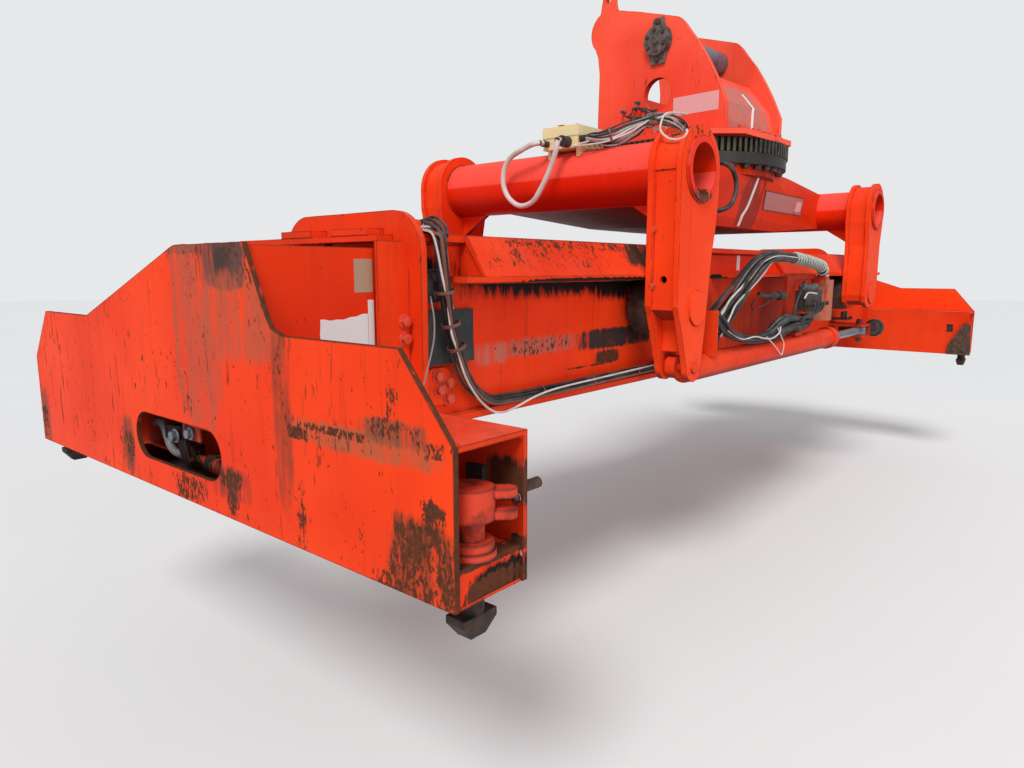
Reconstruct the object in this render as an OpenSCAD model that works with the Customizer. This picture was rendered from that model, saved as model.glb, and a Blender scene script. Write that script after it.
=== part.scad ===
// Telescopic container spreader of a reach stacker, with its side-shift
// yoke, slewing ring and tilt head. Shown at its twenty foot length.
// X runs along the container, Y across it, Z up.
// Lengths are written from the middle of the main frame, with zero height
// at the underside of the end beams, and moved to the boom pin at the end.

/* [General] */
// Part to draw, or all of them
// Facets on large round faces
round_fn = 48; // [24:4:96]

/* [Container fit] */
// Distance between lock centres along the container
lock_pitch_x = 5853; // [5800:1:6100]
// Distance between lock centres across the container
lock_pitch_y = 2259; // [2200:1:2300]
// Length of a lock head along the container
lock_head_long = 100; // [90:1:110]
// Width of a lock head
lock_head_wide = 56; // [45:1:62]
// Depth of the lock tips below the end beams
lock_drop = 95; // [80:1:130]

/* [End beams] */
// Outer width of each end beam
end_width = 2360; // [2200:10:2440]
// Reach of an end plate beyond the lock centres
end_over = 99.5; // [90:0.5:130]
// Thickness of the end plates
end_plate_t = 14; // [8:1:30]
// Depth of an end beam along the spreader
end_depth = 226; // [180:2:300]
// Height of the end boxes
end_box_h = 342; // [300:2:420]
// Height of the plate hump over the beam
hump_z = 750; // [650:2:820]
// Height of the plate shoulders
shoulder_z = 524; // [460:2:600]
// Width of the slot in the end plate
slot_w = 546; // [300:2:700]
// Height of the slot in the end plate
slot_h = 148; // [80:2:220]
// Height of the slot centre
slot_z = 162; // [120:2:220]
// Height of the base blocks under the locks
base_z = 84; // [60:1:100]
// Distance of the end box ribs from the middle
rib_y = 800; // [700:5:900]

/* [Telescopic beams] */
// Side of a beam next to the spine
beam_in_y = 60; // [50:1:90]
// Outer side of a beam
beam_out_y = 447; // [400:1:500]
// Underside of a beam
beam_low_z = 226; // [200:2:260]
// Top of a beam
beam_top_z = 744; // [700:2:760]
// Wall of a beam
beam_wall = 12; // [8:1:20]
// Inner end of the beam, past the middle
beam_tail_x = 1500; // [900:10:1800]

/* [Main frame] */
// Half length of the main frame
frame_half = 2500; // [2300:10:2600]
// Outer face of the webs
web_y = 470; // [460:1:520]
// Web thickness
web_t = 12; // [8:1:20]
// Half width of the top and bottom plates
flange_y = 500; // [480:1:560]
// Top of the top plate
frame_top_z = 790; // [770:2:840]
// Underside of the bottom plate
frame_low_z = 187; // [160:1:210]
// Thickness of the top and bottom plates
flange_t = 25; // [12:1:30]
// Half width of the spine between the beams
spine_y = 50; // [30:1:55]
// Top of the end portals
portal_z = 861; // [800:1:920]
// Plate thickness of the end portals
portal_t = 25; // [15:1:40]
// Corner radius of the end portals
portal_r = 130; // [60:2:180]

/* [Rails and rollers] */
// Underside of the rail ledge
ledge_z = 640; // [600:1:680]
// Ledge thickness
ledge_t = 20; // [12:1:30]
// Outer edge of the ledge
ledge_y = 595; // [560:1:598]
// Roller width
wheel_w = 108; // [60:1:110]
// Height of the roller axles
axle_z = 521; // [480:1:540]
// Axle radius
axle_r = 45; // [25:1:60]

/* [Yoke] */
// Side shift of the yoke along the frame
shift_x = 190; // [0:5:400]
// Half distance between the two cross tubes
arm_dx = 1340; // [1200:5:1500]
// Outer face of the hanger arms
arm_out_y = 752; // [700:1:800]
// Width of a hanger arm
arm_w = 152; // [100:1:200]
// Plate thickness of the hanger arms
arm_t = 26; // [12:1:40]
// Radius of the arm head
arm_head_r = 171; // [150:1:200]
// Height of the cross tubes
tube_z = 1088; // [1040:1:1140]
// Outer radius of the cross tubes
tube_r = 131; // [110:1:150]
// Inner radius of the cross tubes
tube_in_r = 105; // [80:1:125]
// Half length of the cross tubes
tube_half = 766; // [752:1:800]
// Wall of the yoke box
yoke_wall = 16; // [8:1:30]

/* [Slewing ring and head] */
// Tip radius of the gear ring
gear_r = 573; // [500:1:620]
// Number of gear teeth
gear_teeth = 104; // [60:1:140]
// Tooth depth
tooth_h = 22; // [12:1:30]
// Radius of the bearing race inside the gear ring
race_r = 470; // [400:1:520]
// Bottom of the gear ring
ring_low_z = 1250; // [1240:1:1300]
// Top of the gear ring
ring_top_z = 1381; // [1340:1:1400]
// Half distance between the outer cheek faces
cheek_x = 350; // [320:1:400]
// Cheek thickness
cheek_t = 40; // [20:1:60]
// Turn of the tilt head about the slewing axis
head_turn = -4; // [-10:1:10]
// Top of the tilt head's base plate
base_top_z = 1415; // [1405:1:1440]
// Distance of the damper eyes behind the pin
eye_y = 365; // [340:1:390]
// Height of the damper eyes
eye_z = 2258; // [2240:1:2280]
// Height of the boom pin
pin_z = 1950; // [1900:1:2000]
// Radius of the boom pin
pin_r = 70; // [50:1:90]

/* [Side-shift cylinders] */
// Height of the cylinders
cyl_z = 245; // [200:1:280]
// Distance of the cylinders from the middle
cyl_y = 665; // [640:1:700]
// Outer radius of a barrel
barrel_r = 60; // [45:1:75]
// Bore radius of a barrel
barrel_in_r = 50; // [35:1:60]
// Rod radius
rod_r = 27; // [20:1:40]

/* [Cables] */
// Radius of the cable bundle on the near tube
harness_r = 18; // [10:1:24]
// Radius of the cable loop on the junction box
loop_r = 12; // [6:1:14]
// Radius of the bundle of hoses over the valve block
hoses_r = 30; // [20:1:34]
// Radius of the bundle of hoses under the valve block
return_r = 24; // [16:1:26]
// Radius of the hose on the side of the yoke
hose_r = 12.5; // [8:0.5:16]

/* [Hidden] */
paint = [0.85, 0.16, 0.07];
steel = [0.25, 0.22, 0.2];
lx = lock_pitch_x / 2;
ly = lock_pitch_y / 2;
end_face_x = lx + end_over;
end_in_x = end_face_x - end_depth;
hw = end_width / 2;
web_z0 = frame_low_z + flange_t;
web_z1 = frame_top_z - flange_t;
run = 0.3;
wheel_r = ledge_z - axle_z - run;
rod_eye_x = frame_half - 860;
// Distance of the harness from the edge of the bottom plate
harness_out = 8;

// Everything is moved so that the middle of the boom pin is the origin.
module at_pin() { translate([-shift_x, 0, -pin_z]) children(); }
// Places a yoke or head piece round the slewing axis.
module on_yoke() { translate([shift_x, 0, 0]) children(); }
// Turns a frame piece to the opposite side and end.
module turned(flip) { rotate([0, 0, flip ? 180 : 0]) children(); }
module along_x(x0, x1, r) { translate([x0, 0, 0]) rotate([0, 90, 0]) cylinder(h = x1 - x0, r = r,
    $fn = round_fn); }
module along_y(y0, y1, r) { translate([0, y1, 0]) rotate([90, 0, 0]) cylinder(h = y1 - y0, r = r,
    $fn = round_fn); }
module box(x0, x1, y0, y1, z0, z1) { translate([x0, y0, z0]) cube([x1 - x0, y1 - y0, z1 - z0]); }
// Extrudes an outline in Y and Z along X.
module plate_x(x0, x1) { translate([x0, 0, 0]) rotate([90, 0, 90]) linear_extrude(x1 - x0) children(); }
// Extrudes an outline in X and Z along Y.
module plate_y(y0, y1) { translate([0, y1, 0]) rotate([90, 0, 0]) linear_extrude(y1 - y0) children(); }

// Cables and hoses: a round section carried from point to point
function unit(v) = v / norm(v);
function tangent(p, i) = unit(p[min(i + 1, len(p) - 1)] - p[max(i - 1, 0)]);
function side(p, i) = let (t = tangent(p, i), s = i == 0 ? cross(t, [0.31, 0.22, 0.93]) : side(p, i - 1))
    unit(s - (s * t) * t);
module cord(p, r, n = 10) {
    m = len(p);
    points = [for (i = [0 : m - 1]) let (a = side(p, i), b = cross(tangent(p, i), a))
        for (k = [0 : n - 1]) p[i] + r * (cos(360 * k / n) * a + sin(360 * k / n) * b)];
    walls = [for (i = [0 : m - 2], k = [0 : n - 1]) let (a = i * n + k, b = i * n + (k + 1) % n)
        each [[a, b + n, b], [a, a + n, b + n]]];
    last = (m - 1) * n;
    caps = [for (k = [1 : n - 2]) each [[0, k, k + 1], [last, last + k + 1, last + k]]];
    polyhedron(points = points, faces = concat(walls, caps));
}

// Tilt head, turned a little on the slewing ring
module on_head() { translate([shift_x, 0, 0]) rotate([0, 0, head_turn]) children(); }
cheek_pts = [[-421, base_top_z], [424, base_top_z], [424, 1561], [417, 1845], [431, 1944], [455, 2006],
    [440, 2170],
    [338, 2196], [130, 2137], [-122, 2056], [-155, 2022], [-200, 1961], [-249, 1900], [-307, 1807], [-362,
        1706], [-421, 1576]];
module cheek_outline() {
    difference() {
        union() {
            polygon(cheek_pts);
            translate([363, 2077]) circle(r = 122, $fn = round_fn);
            polygon([[eye_y - 60, 2150], [eye_y + 60, 2150], [eye_y + 36, eye_z + 12], [eye_y - 36,
                eye_z + 12]]);
            translate([eye_y, eye_z]) circle(r = 38, $fn = 32);
        }
        translate([0, pin_z]) circle(r = pin_r + 0.3, $fn = round_fn);
        translate([1, 1667]) circle(r = 90, $fn = round_fn);
        translate([eye_y, eye_z]) circle(r = 20, $fn = 32);
    }
}
module head_cheeks() {
    color(paint) at_pin() on_head() {
        plate_x(-cheek_x, -cheek_x + cheek_t) cheek_outline();
        plate_x(cheek_x - cheek_t, cheek_x) cheek_outline();
    }
}
base_pts = [[-555, -348], [-355, -548], [208, -548], [555, -201], [555, 348], [355, 548], [-355, 548],
    [-555, 348]];
base_z0 = ring_top_z + 4;
drive_x = 250;
drive_y = 575;
module head_base() {
    in_x = cheek_x - cheek_t;
    color(paint) at_pin() on_head() {
        difference() {
            union() {
                box(120, 380, 500, 690, base_z0, base_top_z);
                translate([0, 0, base_z0]) linear_extrude(base_top_z - base_z0) polygon(base_pts);
            }
            translate([drive_x, drive_y, ring_top_z]) cylinder(h = 60, r = 54, $fn = round_fn);
            translate([0, 0, ring_top_z]) cylinder(h = 60, r = 240, $fn = round_fn);
        }
        plate_x(-in_x, in_x) polygon([[-391, base_top_z], [-391, 1489], [-368, 1596], [-223, 1774], [-210,
            1763],
            [-353, 1588], [-374, 1489], [-374, base_top_z]]);
        plate_x(-in_x, in_x) polygon([[375, base_top_z], [375, 1760], [355, 1760], [355, base_top_z]]);
    }
}
// Hose manifold on the back wall
module head_fittings() {
    color(steel) at_pin() on_head() {
        box(-300, -150, 375, 440, 1450, 1710);
        for (z = [1490, 1550, 1610, 1670]) translate([-260, 0, z]) along_y(440, 470, 16);
        for (z = [1520, 1640]) translate([-190, 0, z]) along_y(440, 462, 20);
    }
}
module boom_pin() {
    color(steel) at_pin() on_head() translate([0, 0, pin_z]) along_x(-cheek_x - 20, cheek_x + 20, pin_r);
}
module keeper_outline() {
    circle(r = 86, $fn = round_fn);
    polygon([[-45, 60], [45, 60], [30, 123], [-30, 123]]);
    polygon([[-58, -60], [58, -60], [44, -123], [-44, -123]]);
}
module pin_keepers() {
    color(steel) at_pin() on_head() translate([0, 0, pin_z]) for (s = [0, 180]) rotate([0, 0, s]) {
        difference() {
            plate_x(cheek_x, cheek_x + 14) keeper_outline();
            along_x(cheek_x - 1, cheek_x + 15, pin_r + 0.3);
        }
        along_x(cheek_x + 20, cheek_x + 38, 78);
        along_x(cheek_x + 38, cheek_x + 50, 22);
        difference() {
            along_x(cheek_x + 14, cheek_x + 20, 80);
            along_x(cheek_x + 13, cheek_x + 21, pin_r + 0.3);
        }
    }
}
module slew_inner_ring() {
    color(steel) at_pin() on_head() difference() {
        translate([0, 0, ring_low_z + 12]) cylinder(h = base_z0 - ring_low_z - 12, r = race_r, $fn = 96);
        translate([0, 0, ring_low_z]) cylinder(h = 200, r = 410, $fn = round_fn);
    }
}
module slew_drive() {
    color(paint) at_pin() on_head() translate([drive_x, drive_y, 0]) {
        translate([0, 0, base_top_z]) cylinder(h = 230, r = 95, $fn = round_fn);
        translate([0, 0, base_top_z + 230]) cylinder(h = 150, r = 62, $fn = round_fn);
        translate([0, 0, 1305]) cylinder(h = 110, r = 50, $fn = round_fn);
    }
}

// Yoke
band_h = 59;
module slew_gear_ring() {
    root = gear_r - tooth_h;
    color(steel) at_pin() on_yoke() difference() {
        union() {
            translate([0, 0, ring_low_z]) cylinder(h = ring_top_z - ring_low_z, r = root, $fn = 96);
            translate([0, 0, ring_low_z]) cylinder(h = band_h, r = gear_r - 8, $fn = 96);
            for (k = [0 : gear_teeth - 1]) rotate([0, 0, k * 360 / gear_teeth])
                translate([root - 3, -8, ring_low_z + band_h]) cube([tooth_h + 3, 16,
                    ring_top_z - ring_low_z - band_h]);
        }
        translate([0, 0, ring_low_z - 1]) cylinder(h = 200, r = race_r + run, $fn = 96);
    }
}
module yoke_section(x, b, t, z0, z1) {
    translate([x, 0, 0]) plate_x(-0.5, 0.5) polygon([[-b, z0], [b, z0], [t, z1], [-t, z1]]);
}
module yoke_hull(g) {
    hull() {
        for (s = [-1, 1]) {
            yoke_section(s * 65, 341 - g, 455 - g, 915 + g, 1250 - g);
            yoke_section(s * 510, 362 - g, 428 - g, 920 + g, 1246 - g);
            yoke_section(s * (arm_dx - 60 - g), 384 - g, 388 - g, 972 + g, 1206 - g);
        }
    }
}
harness_end = [-790, -380, ring_low_z + 10];
hose_ends = [[-580, -470, ring_low_z - 30], [-570, -440, 982]];
module yoke_box() {
    color(paint) at_pin() on_yoke() difference() {
        union() {
            yoke_hull(0);
            translate([0, 0, ring_low_z - 50]) cylinder(h = 50, r = 500, $fn = round_fn);
            translate([harness_end[0], harness_end[1], ring_low_z - 28]) cylinder(h = 38, r = 20, $fn = 24);
            for (e = hose_ends) translate([e[0], 0, e[2]]) along_y(e[1], -360, 16);
        }
        yoke_hull(yoke_wall);
        translate([0, 0, ring_low_z - 51]) cylinder(h = 100, r = 400, $fn = round_fn);
        for (s = [-1, 1]) translate([s * arm_dx, 0, tube_z]) along_y(-500, 500, tube_r);
    }
}
module yoke_tubes() {
    color(paint) at_pin() on_yoke() for (s = [-1, 1]) translate([s * arm_dx, 0, tube_z]) difference() {
        along_y(-tube_half, tube_half, tube_r);
        along_y(-tube_half - 1, tube_half + 1, tube_in_r);
    }
}
// Outline of an arm on the near side, measured from the arm centre.
module arm_outline(long) {
    translate([0, 1093]) circle(r = arm_head_r, $fn = round_fn);
    if (long) {
        polygon([[-171, 1093], [-166, 530], [-148, 490], [-74, 286], [-68, 265], [62, 265], [96, 498],
            [126, 750],
            [155, 870], [171, 1000], [171, 1093]]);
        translate([-3, 272]) circle(r = 66, $fn = round_fn);
    } else {
        polygon([[-171, 1093], [-171, 1000], [-140, 850], [-140, 500], [-122, 455], [-82, 424], [82, 424],
            [122, 455],
            [140, 500], [140, 850], [171, 1000], [171, 1093]]);
        translate([0, axle_z]) circle(r = 106, $fn = round_fn);
    }
}
module arm(long) {
    y1 = -arm_out_y + arm_t;
    y2 = -arm_out_y + arm_w - arm_t;
    y3 = -arm_out_y + arm_w;
    difference() {
        union() {
            plate_y(-arm_out_y, y1) arm_outline(long);
            plate_y(y2, y3) arm_outline(long);
            if (long) {
                box(-152, -134, y1, y2, 540, 1093);
                plate_y(y1, y2) polygon([[80, 560], [98, 560], [128, 750], [156, 870], [158, 1000], [158,
                    tube_z],
                    [140, tube_z], [138, 1000], [110, 750]]);
            } else plate_y(y1, y2) difference() {
                polygon([[-158, tube_z], [-158, 1000], [-128, 850], [-128, 506], [-112, 466], [-76, 438],
                    [76, 438],
                    [112, 466], [128, 506], [128, 850], [158, 1000], [158, tube_z]]);
                polygon([[-140, tube_z + 1], [-140, 1002], [-110, 852], [-110, 512], [-98, 480], [-68,
                    456], [68, 456],
                    [98, 480], [110, 512], [110, 852], [140, 1002], [140, tube_z + 1]]);
            }
            translate([0, 0, tube_z]) difference() {
                along_y(y1, y2, 158);
                along_y(y1 - 1, y2 + 1, 140);
                box(-200, 200, y1 - 1, y2 + 1, -200, -10);
            }
            translate([0, 0, axle_z]) along_y(-arm_out_y - 10, y3, 75);
            translate([0, 0, axle_z]) along_y(y3 - 1, -wheel_y0(), axle_r);
            if (long) plate_y(y1, y2) polygon([[-152, 560], [-152, 515], [-125, 498], [-60, 468], [-52,
                440], [-52, 335],
                [70, 335], [98, 562], [82, 562], [56, 351], [-36, 351], [-36, 448], [-50, 484], [-118,
                    516], [-136, 530],
                [-136, 560]]);
            plate_x(-12, 12) polygon([[y3 - 1, 852], [y3 + 167, tube_z - tube_r], [y3 + 167, tube_z],
                [y3 - 1, tube_z]]);
        }
        translate([0, 0, tube_z]) along_y(-900, -300, tube_r);
        translate([-200, (y1 + y2) / 2, 640]) rotate([0, 90, 0]) cylinder(h = 100, r = 15, $fn = 24);
        if (long) translate([-6, 0, 265]) along_y(-arm_out_y - 1, y3 + 1, 22.3);
    }
}
function wheel_y0() = web_y + 16;
module arm_at(flip_x, flip_c, long) {
    at_pin() on_yoke() turned(flip_c) translate([flip_x * arm_dx, 0, 0]) mirror([flip_x > 0 ? 1 : 0, 0,
        0]) arm(long);
}
module arm_near_right() { color(paint) arm_at(-1, false, true); }
module arm_far_right() { color(paint) arm_at(1, false, false); }
module arm_far_left() { color(paint) arm_at(-1, true, true); }
module arm_near_left() { color(paint) arm_at(1, true, false); }

module wheel() {
    translate([0, 0, axle_z]) difference() {
        along_y(-wheel_y0() - wheel_w, -wheel_y0(), wheel_r);
        along_y(-wheel_y0() - wheel_w - 1, -wheel_y0() + 1, axle_r + run);
    }
}
module wheel_at(sx, flip) { color(steel) at_pin() on_yoke() turned(flip) translate([sx * arm_dx, 0,
    0]) wheel(); }
module wheel_near_right() { wheel_at(-1, false); }
module wheel_far_right() { wheel_at(1, false); }
module wheel_far_left() { wheel_at(-1, true); }
module wheel_near_left() { wheel_at(1, true); }

// Side-shift cylinders. The barrel hangs on the long arm, the rod holds the frame.
barrel_end = 740;
// Plate on the barrel that the hoses come out of
hose_plate_x = -arm_dx + 250;
module barrel() {
    translate([0, -cyl_y, cyl_z]) difference() {
        union() {
            along_x(-arm_dx + 70, barrel_end, barrel_r);
            along_x(barrel_end - 60, barrel_end + 12, barrel_r + 10);
            translate([-arm_dx - 6, 0, 20]) along_y(-24, 24, 50);
            box(-arm_dx, -arm_dx + 90, -24, 24, -25, 50);
        }
        along_x(-arm_dx + 90, barrel_end - 40, barrel_in_r);
        along_x(barrel_end - 41, barrel_end + 13, rod_r + run);
    }
    box(hose_plate_x - 12, hose_plate_x, -cyl_y - 75, -cyl_y + 45, cyl_z + barrel_r - 15, cyl_z + 255);
    translate([-arm_dx - 6, 0, 265]) along_y(-arm_out_y - 8, -arm_out_y + arm_w + 6, 22);
}
module shift_barrel_right() { color(paint) at_pin() on_yoke() barrel(); }
module shift_barrel_left() { color(paint) at_pin() on_yoke() turned(true) barrel(); }
rod_len = 1830;
module rod() {
    translate([0, -cyl_y, cyl_z]) {
        along_x(rod_eye_x - rod_len, rod_eye_x - 30, rod_r);
        along_x(rod_eye_x - rod_len, rod_eye_x - rod_len + 60, barrel_in_r - run);
        difference() {
            union() {
                translate([rod_eye_x, 0, -25]) cylinder(h = 50, r = 46, $fn = round_fn);
                along_x(rod_eye_x - 70, rod_eye_x - 30, rod_r + 12);
            }
            translate([rod_eye_x, 0, -26]) cylinder(h = 52, r = 22 + run, $fn = 32);
            translate([rod_eye_x - 80, -60, 25]) cube([60, 120, 30]);
            translate([rod_eye_x - 80, -60, -55]) cube([60, 120, 30]);
        }
    }
}
module shift_rod_right() { color(steel) at_pin() rod(); }
module shift_rod_left() { color(steel) at_pin() turned(true) rod(); }
module rod_bracket() {
    translate([rod_eye_x, -cyl_y, 0]) {
        for (z = [cyl_z - 48, cyl_z + 28]) difference() {
            union() {
                translate([0, 0, z]) cylinder(h = 20, r = 50, $fn = round_fn);
                translate([-50, 0, z]) cube([150, cyl_y - (z > cyl_z ? web_y : flange_y), 20]);
                translate([0, -50, z]) cube([100, 100, 20]);
            }
            translate([0, 0, z - 1]) cylinder(h = 22, r = 22, $fn = 32);
        }
        translate([80, -50, cyl_z - 48]) cube([20, cyl_y - flange_y + 50, 96]);
        translate([0, 0, cyl_z - 62]) cylinder(h = 125, r = 22, $fn = 32);
    }
}
module rod_bracket_right() { color(paint) at_pin() rod_bracket(); }
module rod_bracket_left() { color(paint) at_pin() turned(true) rod_bracket(); }
// Lamps with their shelves, beside the rod brackets
module work_lamp() {
    translate([rod_eye_x, 0, 0]) {
        box(-60, 60, -600, -web_y, 320, 332);
        for (x = [-40, 10]) translate([x, -560, 332]) cylinder(h = 48, r = 15, $fn = 24);
        translate([100, -722, cyl_z + 13]) {
            along_x(0, 50, 46);
            along_x(50, 74, 60);
        }
    }
}
module work_lamps() { color(steel) at_pin() for (f = [false, true]) turned(f) work_lamp(); }
// Socket that takes the upper hoses
socket = [530, -675, 640];
module valve_carrier() {
    color(paint) at_pin() on_yoke() {
        box(20, 130, -cyl_y - 40, -cyl_y + 45, cyl_z + barrel_r, 325);
        box(20, 145, -640, -620, 320, 650);
        box(145, 510, -640, -620, 622, 652);
        box(145, 510, -700, -620, 425, 440);
        box(490, 510, -640, -620, 440, 622);
        translate([0, 0, 362]) linear_extrude(258) polygon([[510, -640], [510, -622], [640, -697], [631,
            -712]]);
        box(socket[0] - 30, socket[0] + 30, socket[1] - 30, -640, 590, socket[2]);
    }
}
module valve_block() {
    color(steel) at_pin() on_yoke() box(160, 440, -700, -640, 440, 560);
}
box_x0 = -arm_dx - 120;
box_x1 = -arm_dx + 92;
box_y0 = -214;
box_y1 = -16;
box_z0 = tube_z + tube_r + run;
module junction_box() {
    color([0.8, 0.76, 0.62]) at_pin() on_yoke() {
        box(box_x0 + 3, box_x1 - 3, box_y0 + 3, box_y1 - 3, box_z0, box_z0 + 51);
        box(box_x0, box_x1, box_y0, box_y1, box_z0 + 51, box_z0 + 97);
        difference() {
            for (y = [box_y0 + 12, box_y1 - 28]) box(box_x0 + 30, box_x1 - 34, y, y + 16, tube_z + 80,
                box_z0);
            translate([-arm_dx, 0, tube_z]) along_y(box_y0, box_y1, tube_r);
        }
    }
}
gland_x = [-1435, -1381, -1331, -1280];
gland_z = tube_z + 168;
module box_glands() {
    color(steel) at_pin() on_yoke() {
        for (x = gland_x) translate([x, 0, gland_z]) along_y(box_y0 - 24, box_y0 + 3, 14);
        translate([0, -44, gland_z - 10]) along_x(box_x0 - 26, box_x0 + 3, 14);
        translate([0, -157, gland_z - 12]) along_x(box_x0 - 46, box_x0 + 3, 24);
    }
}
// Bundle from the junction box along the tube and down to the yoke's top
harness_path = [[gland_x[0], box_y0 - 24, gland_z], [gland_x[0], -270, gland_z], [-1426, -320, gland_z - 2],
    [-1400, -365, tube_z + 178], [-1340, -400, tube_z + 212], [-1240, -412, tube_z + 246],
    [-1140, -420, tube_z + 264], [-1020, -422, tube_z + 270], [-910, -420, ring_low_z + 96],
    [-830, -408, ring_low_z + 66], [-800, -390, ring_low_z + 40], [-790, -380, ring_low_z + 26],
        harness_end];
module tube_harness() { color(steel) at_pin() on_yoke() cord(harness_path, harness_r); }
// Loop that hangs beside the tube from one gland to the other
loop_path = [[box_x0 - 26, -44, 158], [-1510, -44, 158], [-1530, -10, 152], [-1535, 50, 132],
    [-1532, 114, 106], [-1530, 154, 58], [-1530, 160, -10], [-1530, 127, -74], [-1530, 60, -114],
    [-1530, -16, -100], [-1530, -68, -40], [-1530, -110, 26], [-1536, -146, 96], [-1536, -157, 136],
    [-1526, -157, 156], [box_x0 - 46, -157, 156]];
module tube_loop() { color(steel) at_pin() on_yoke() translate([0, 0, tube_z]) cord(loop_path, loop_r); }
// Hose on the side of the yoke
hose_path = [hose_ends[0], [-580, -486, ring_low_z - 30], [-572, -512, ring_low_z - 40],
    [-545, -528, 1190], [-510, -532, 1155], [-494, -534, 1110], [-502, -532, 1058], [-530, -524, 1014],
    [-558, -502, 990], [-570, -465, 982], hose_ends[1]];
module ring_hose() { color(steel) at_pin() on_yoke() cord(hose_path, hose_r); }
// Hoses from the plate on the barrel up and over to the socket
hoses_path = [[hose_plate_x, -652, 345], [hose_plate_x + 18, -652, 345], [-1035, -652, 362],
    [-985, -655, 405], [-930, -664, 465], [-785, -680, 567], [-580, -680, 687], [-430, -680, 738],
    [-290, -680, 756], [-60, -680, 749], [180, -680, 734], [410, -680, 712], [470, -680, 701],
    [512, -678, 678], [530, -675, 661], socket];
module valve_hoses() { color(steel) at_pin() on_yoke() cord(hoses_path, hoses_r); }
// Hoses from the same plate to the underside of the valve shelf
return_path = [[hose_plate_x, -712, 468], [hose_plate_x + 18, -712, 468], [-1045, -712, 458],
    [-1000, -712, 430], [-913, -710, 391], [-760, -705, 354], [-585, -702, 334], [-300, -702, 338],
    [-140, -700, 354], [0, -694, 366], [110, -684, 372], [160, -678, 380], [186, -676, 394],
    [205, -674, 411], [205, -674, 425]];
module valve_return() { color(steel) at_pin() on_yoke() cord(return_path, return_r); }

// Main frame
module frame_top() { color(paint) at_pin() box(-frame_half + portal_t, frame_half - portal_t, -flange_y,
    flange_y, web_z1, frame_top_z); }
module frame_bottom() {
    color(paint) at_pin() box(-frame_half + portal_t, frame_half - portal_t, -flange_y, flange_y,
        frame_low_z, web_z0);
}
module web(flip) {
    color(paint) at_pin() turned(flip) {
        box(-frame_half + portal_t, frame_half - portal_t, -web_y, -web_y + web_t, web_z0, web_z1);
        translate([-frame_half, 0, 0]) plate_y(-web_y - 12, -web_y) polygon([[50, 248], [167, 248], [167,
            345],
            [140, 372], [76, 372], [50, 345]]);
        if (!flip) translate([harness_x1, 0, harness_z]) along_y(-web_y - 6, -web_y, harness_r + 2);
    }
}
module frame_web_right() { web(false); }
module frame_web_left() { web(true); }
// Bundle from the near portal down and along the edge of the bottom plate
harness_x1 = -1000;
harness_z = frame_low_z + 57;
harness_y = -flange_y - harness_out;
frame_path = [[-frame_half + portal_t + 17, -468, 812], [52 - frame_half, -468, 812],
    [66 - frame_half, -482, 812], [72 - frame_half, -504, 811], [76 - frame_half, -523, 792],
    [76 - frame_half, -530, 750], [101 - frame_half, -528, 588], [129 - frame_half, -528, 477],
    [176 - frame_half, -526, 366], [232 - frame_half, -520, 293], [305 - frame_half, -513, harness_z + 4],
    [400 - frame_half, harness_y, harness_z - 8], [-1780, harness_y, harness_z - 10],
    [-1450, harness_y, harness_z - 5], [harness_x1 - 32, harness_y, harness_z],
    [harness_x1 - 17, harness_y + 2, harness_z], [harness_x1 - 5, harness_y + 8, harness_z],
    [harness_x1, harness_y + 19, harness_z], [harness_x1, -web_y - 6, harness_z]];
module frame_harness() { color(steel) at_pin() cord(frame_path, harness_r); }
module frame_spine() {
    color(paint) at_pin() for (s = [-1, 1])
        box(-frame_half + portal_t, frame_half - portal_t, s > 0 ? spine_y - web_t : -spine_y,
            s > 0 ? spine_y : -spine_y + web_t,
            web_z0, web_z1);
}
module portal_outline() {
    y0 = -525;
    y1 = 178;
    difference() {
        union() {
            translate([y0 + portal_r, portal_z - portal_r]) circle(r = portal_r, $fn = round_fn);
            translate([y1 - portal_r, portal_z - portal_r]) circle(r = portal_r, $fn = round_fn);
            translate([y0, frame_low_z]) square([y1 - y0, portal_z - portal_r - frame_low_z]);
            translate([y0 + portal_r, frame_low_z]) square([y1 - y0 - 2 * portal_r,
                portal_z - frame_low_z]);
            translate([0, frame_low_z]) square([flange_y, frame_top_z - frame_low_z]);
        }
        translate([-beam_out_y - 11, web_z0]) square([beam_out_y - spine_y + 11, web_z1 - web_z0]);
        translate([spine_y, web_z0 + 60]) square([beam_out_y - spine_y - 40, web_z1 - web_z0 - 120]);
    }
}
// Wear pads on the four sides of a beam, from a0 or a1 at the beam out to b0 or b1.
module pads(x0, x1, a0, a1, b0, b1, z0, z1, c0, c1) {
    box(x0, x1, -a0, -b0, z0 + 60, z1 - 60);
    box(x0, x1, -b1, -a1, z0 + 60, z1 - 60);
    box(x0, x1, -a1 + 30, -a0 - 30, c0, z0);
    box(x0, x1, -a1 + 30, -a0 - 30, z1, c1);
}
module portal(flip) {
    color(paint) at_pin() turned(flip) {
        plate_x(-frame_half, -frame_half + portal_t) portal_outline();
        box(-frame_half - 120, -frame_half, -470, -458, web_z0, web_z1);
        box(-frame_half - 60, -frame_half, -400, 115, 766, 786);
        box(-frame_half - 62, -frame_half, -357, -172, 786, 807);
        box(-frame_half - 62, -frame_half, -62, 113, 786, 808);
        pads(-frame_half, -frame_half + portal_t, beam_in_y - run, beam_out_y + run, spine_y - 1,
            web_y - web_t + 1,
            beam_low_z - run, beam_top_z + run, web_z0 - 1, web_z1 + 1);
        if (!flip) translate([0, -468, 812]) along_x(-frame_half + portal_t, -frame_half + portal_t + 17,
            harness_r + 2);
    }
}
module portal_near() { portal(false); }
module portal_far() { portal(true); }
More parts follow.
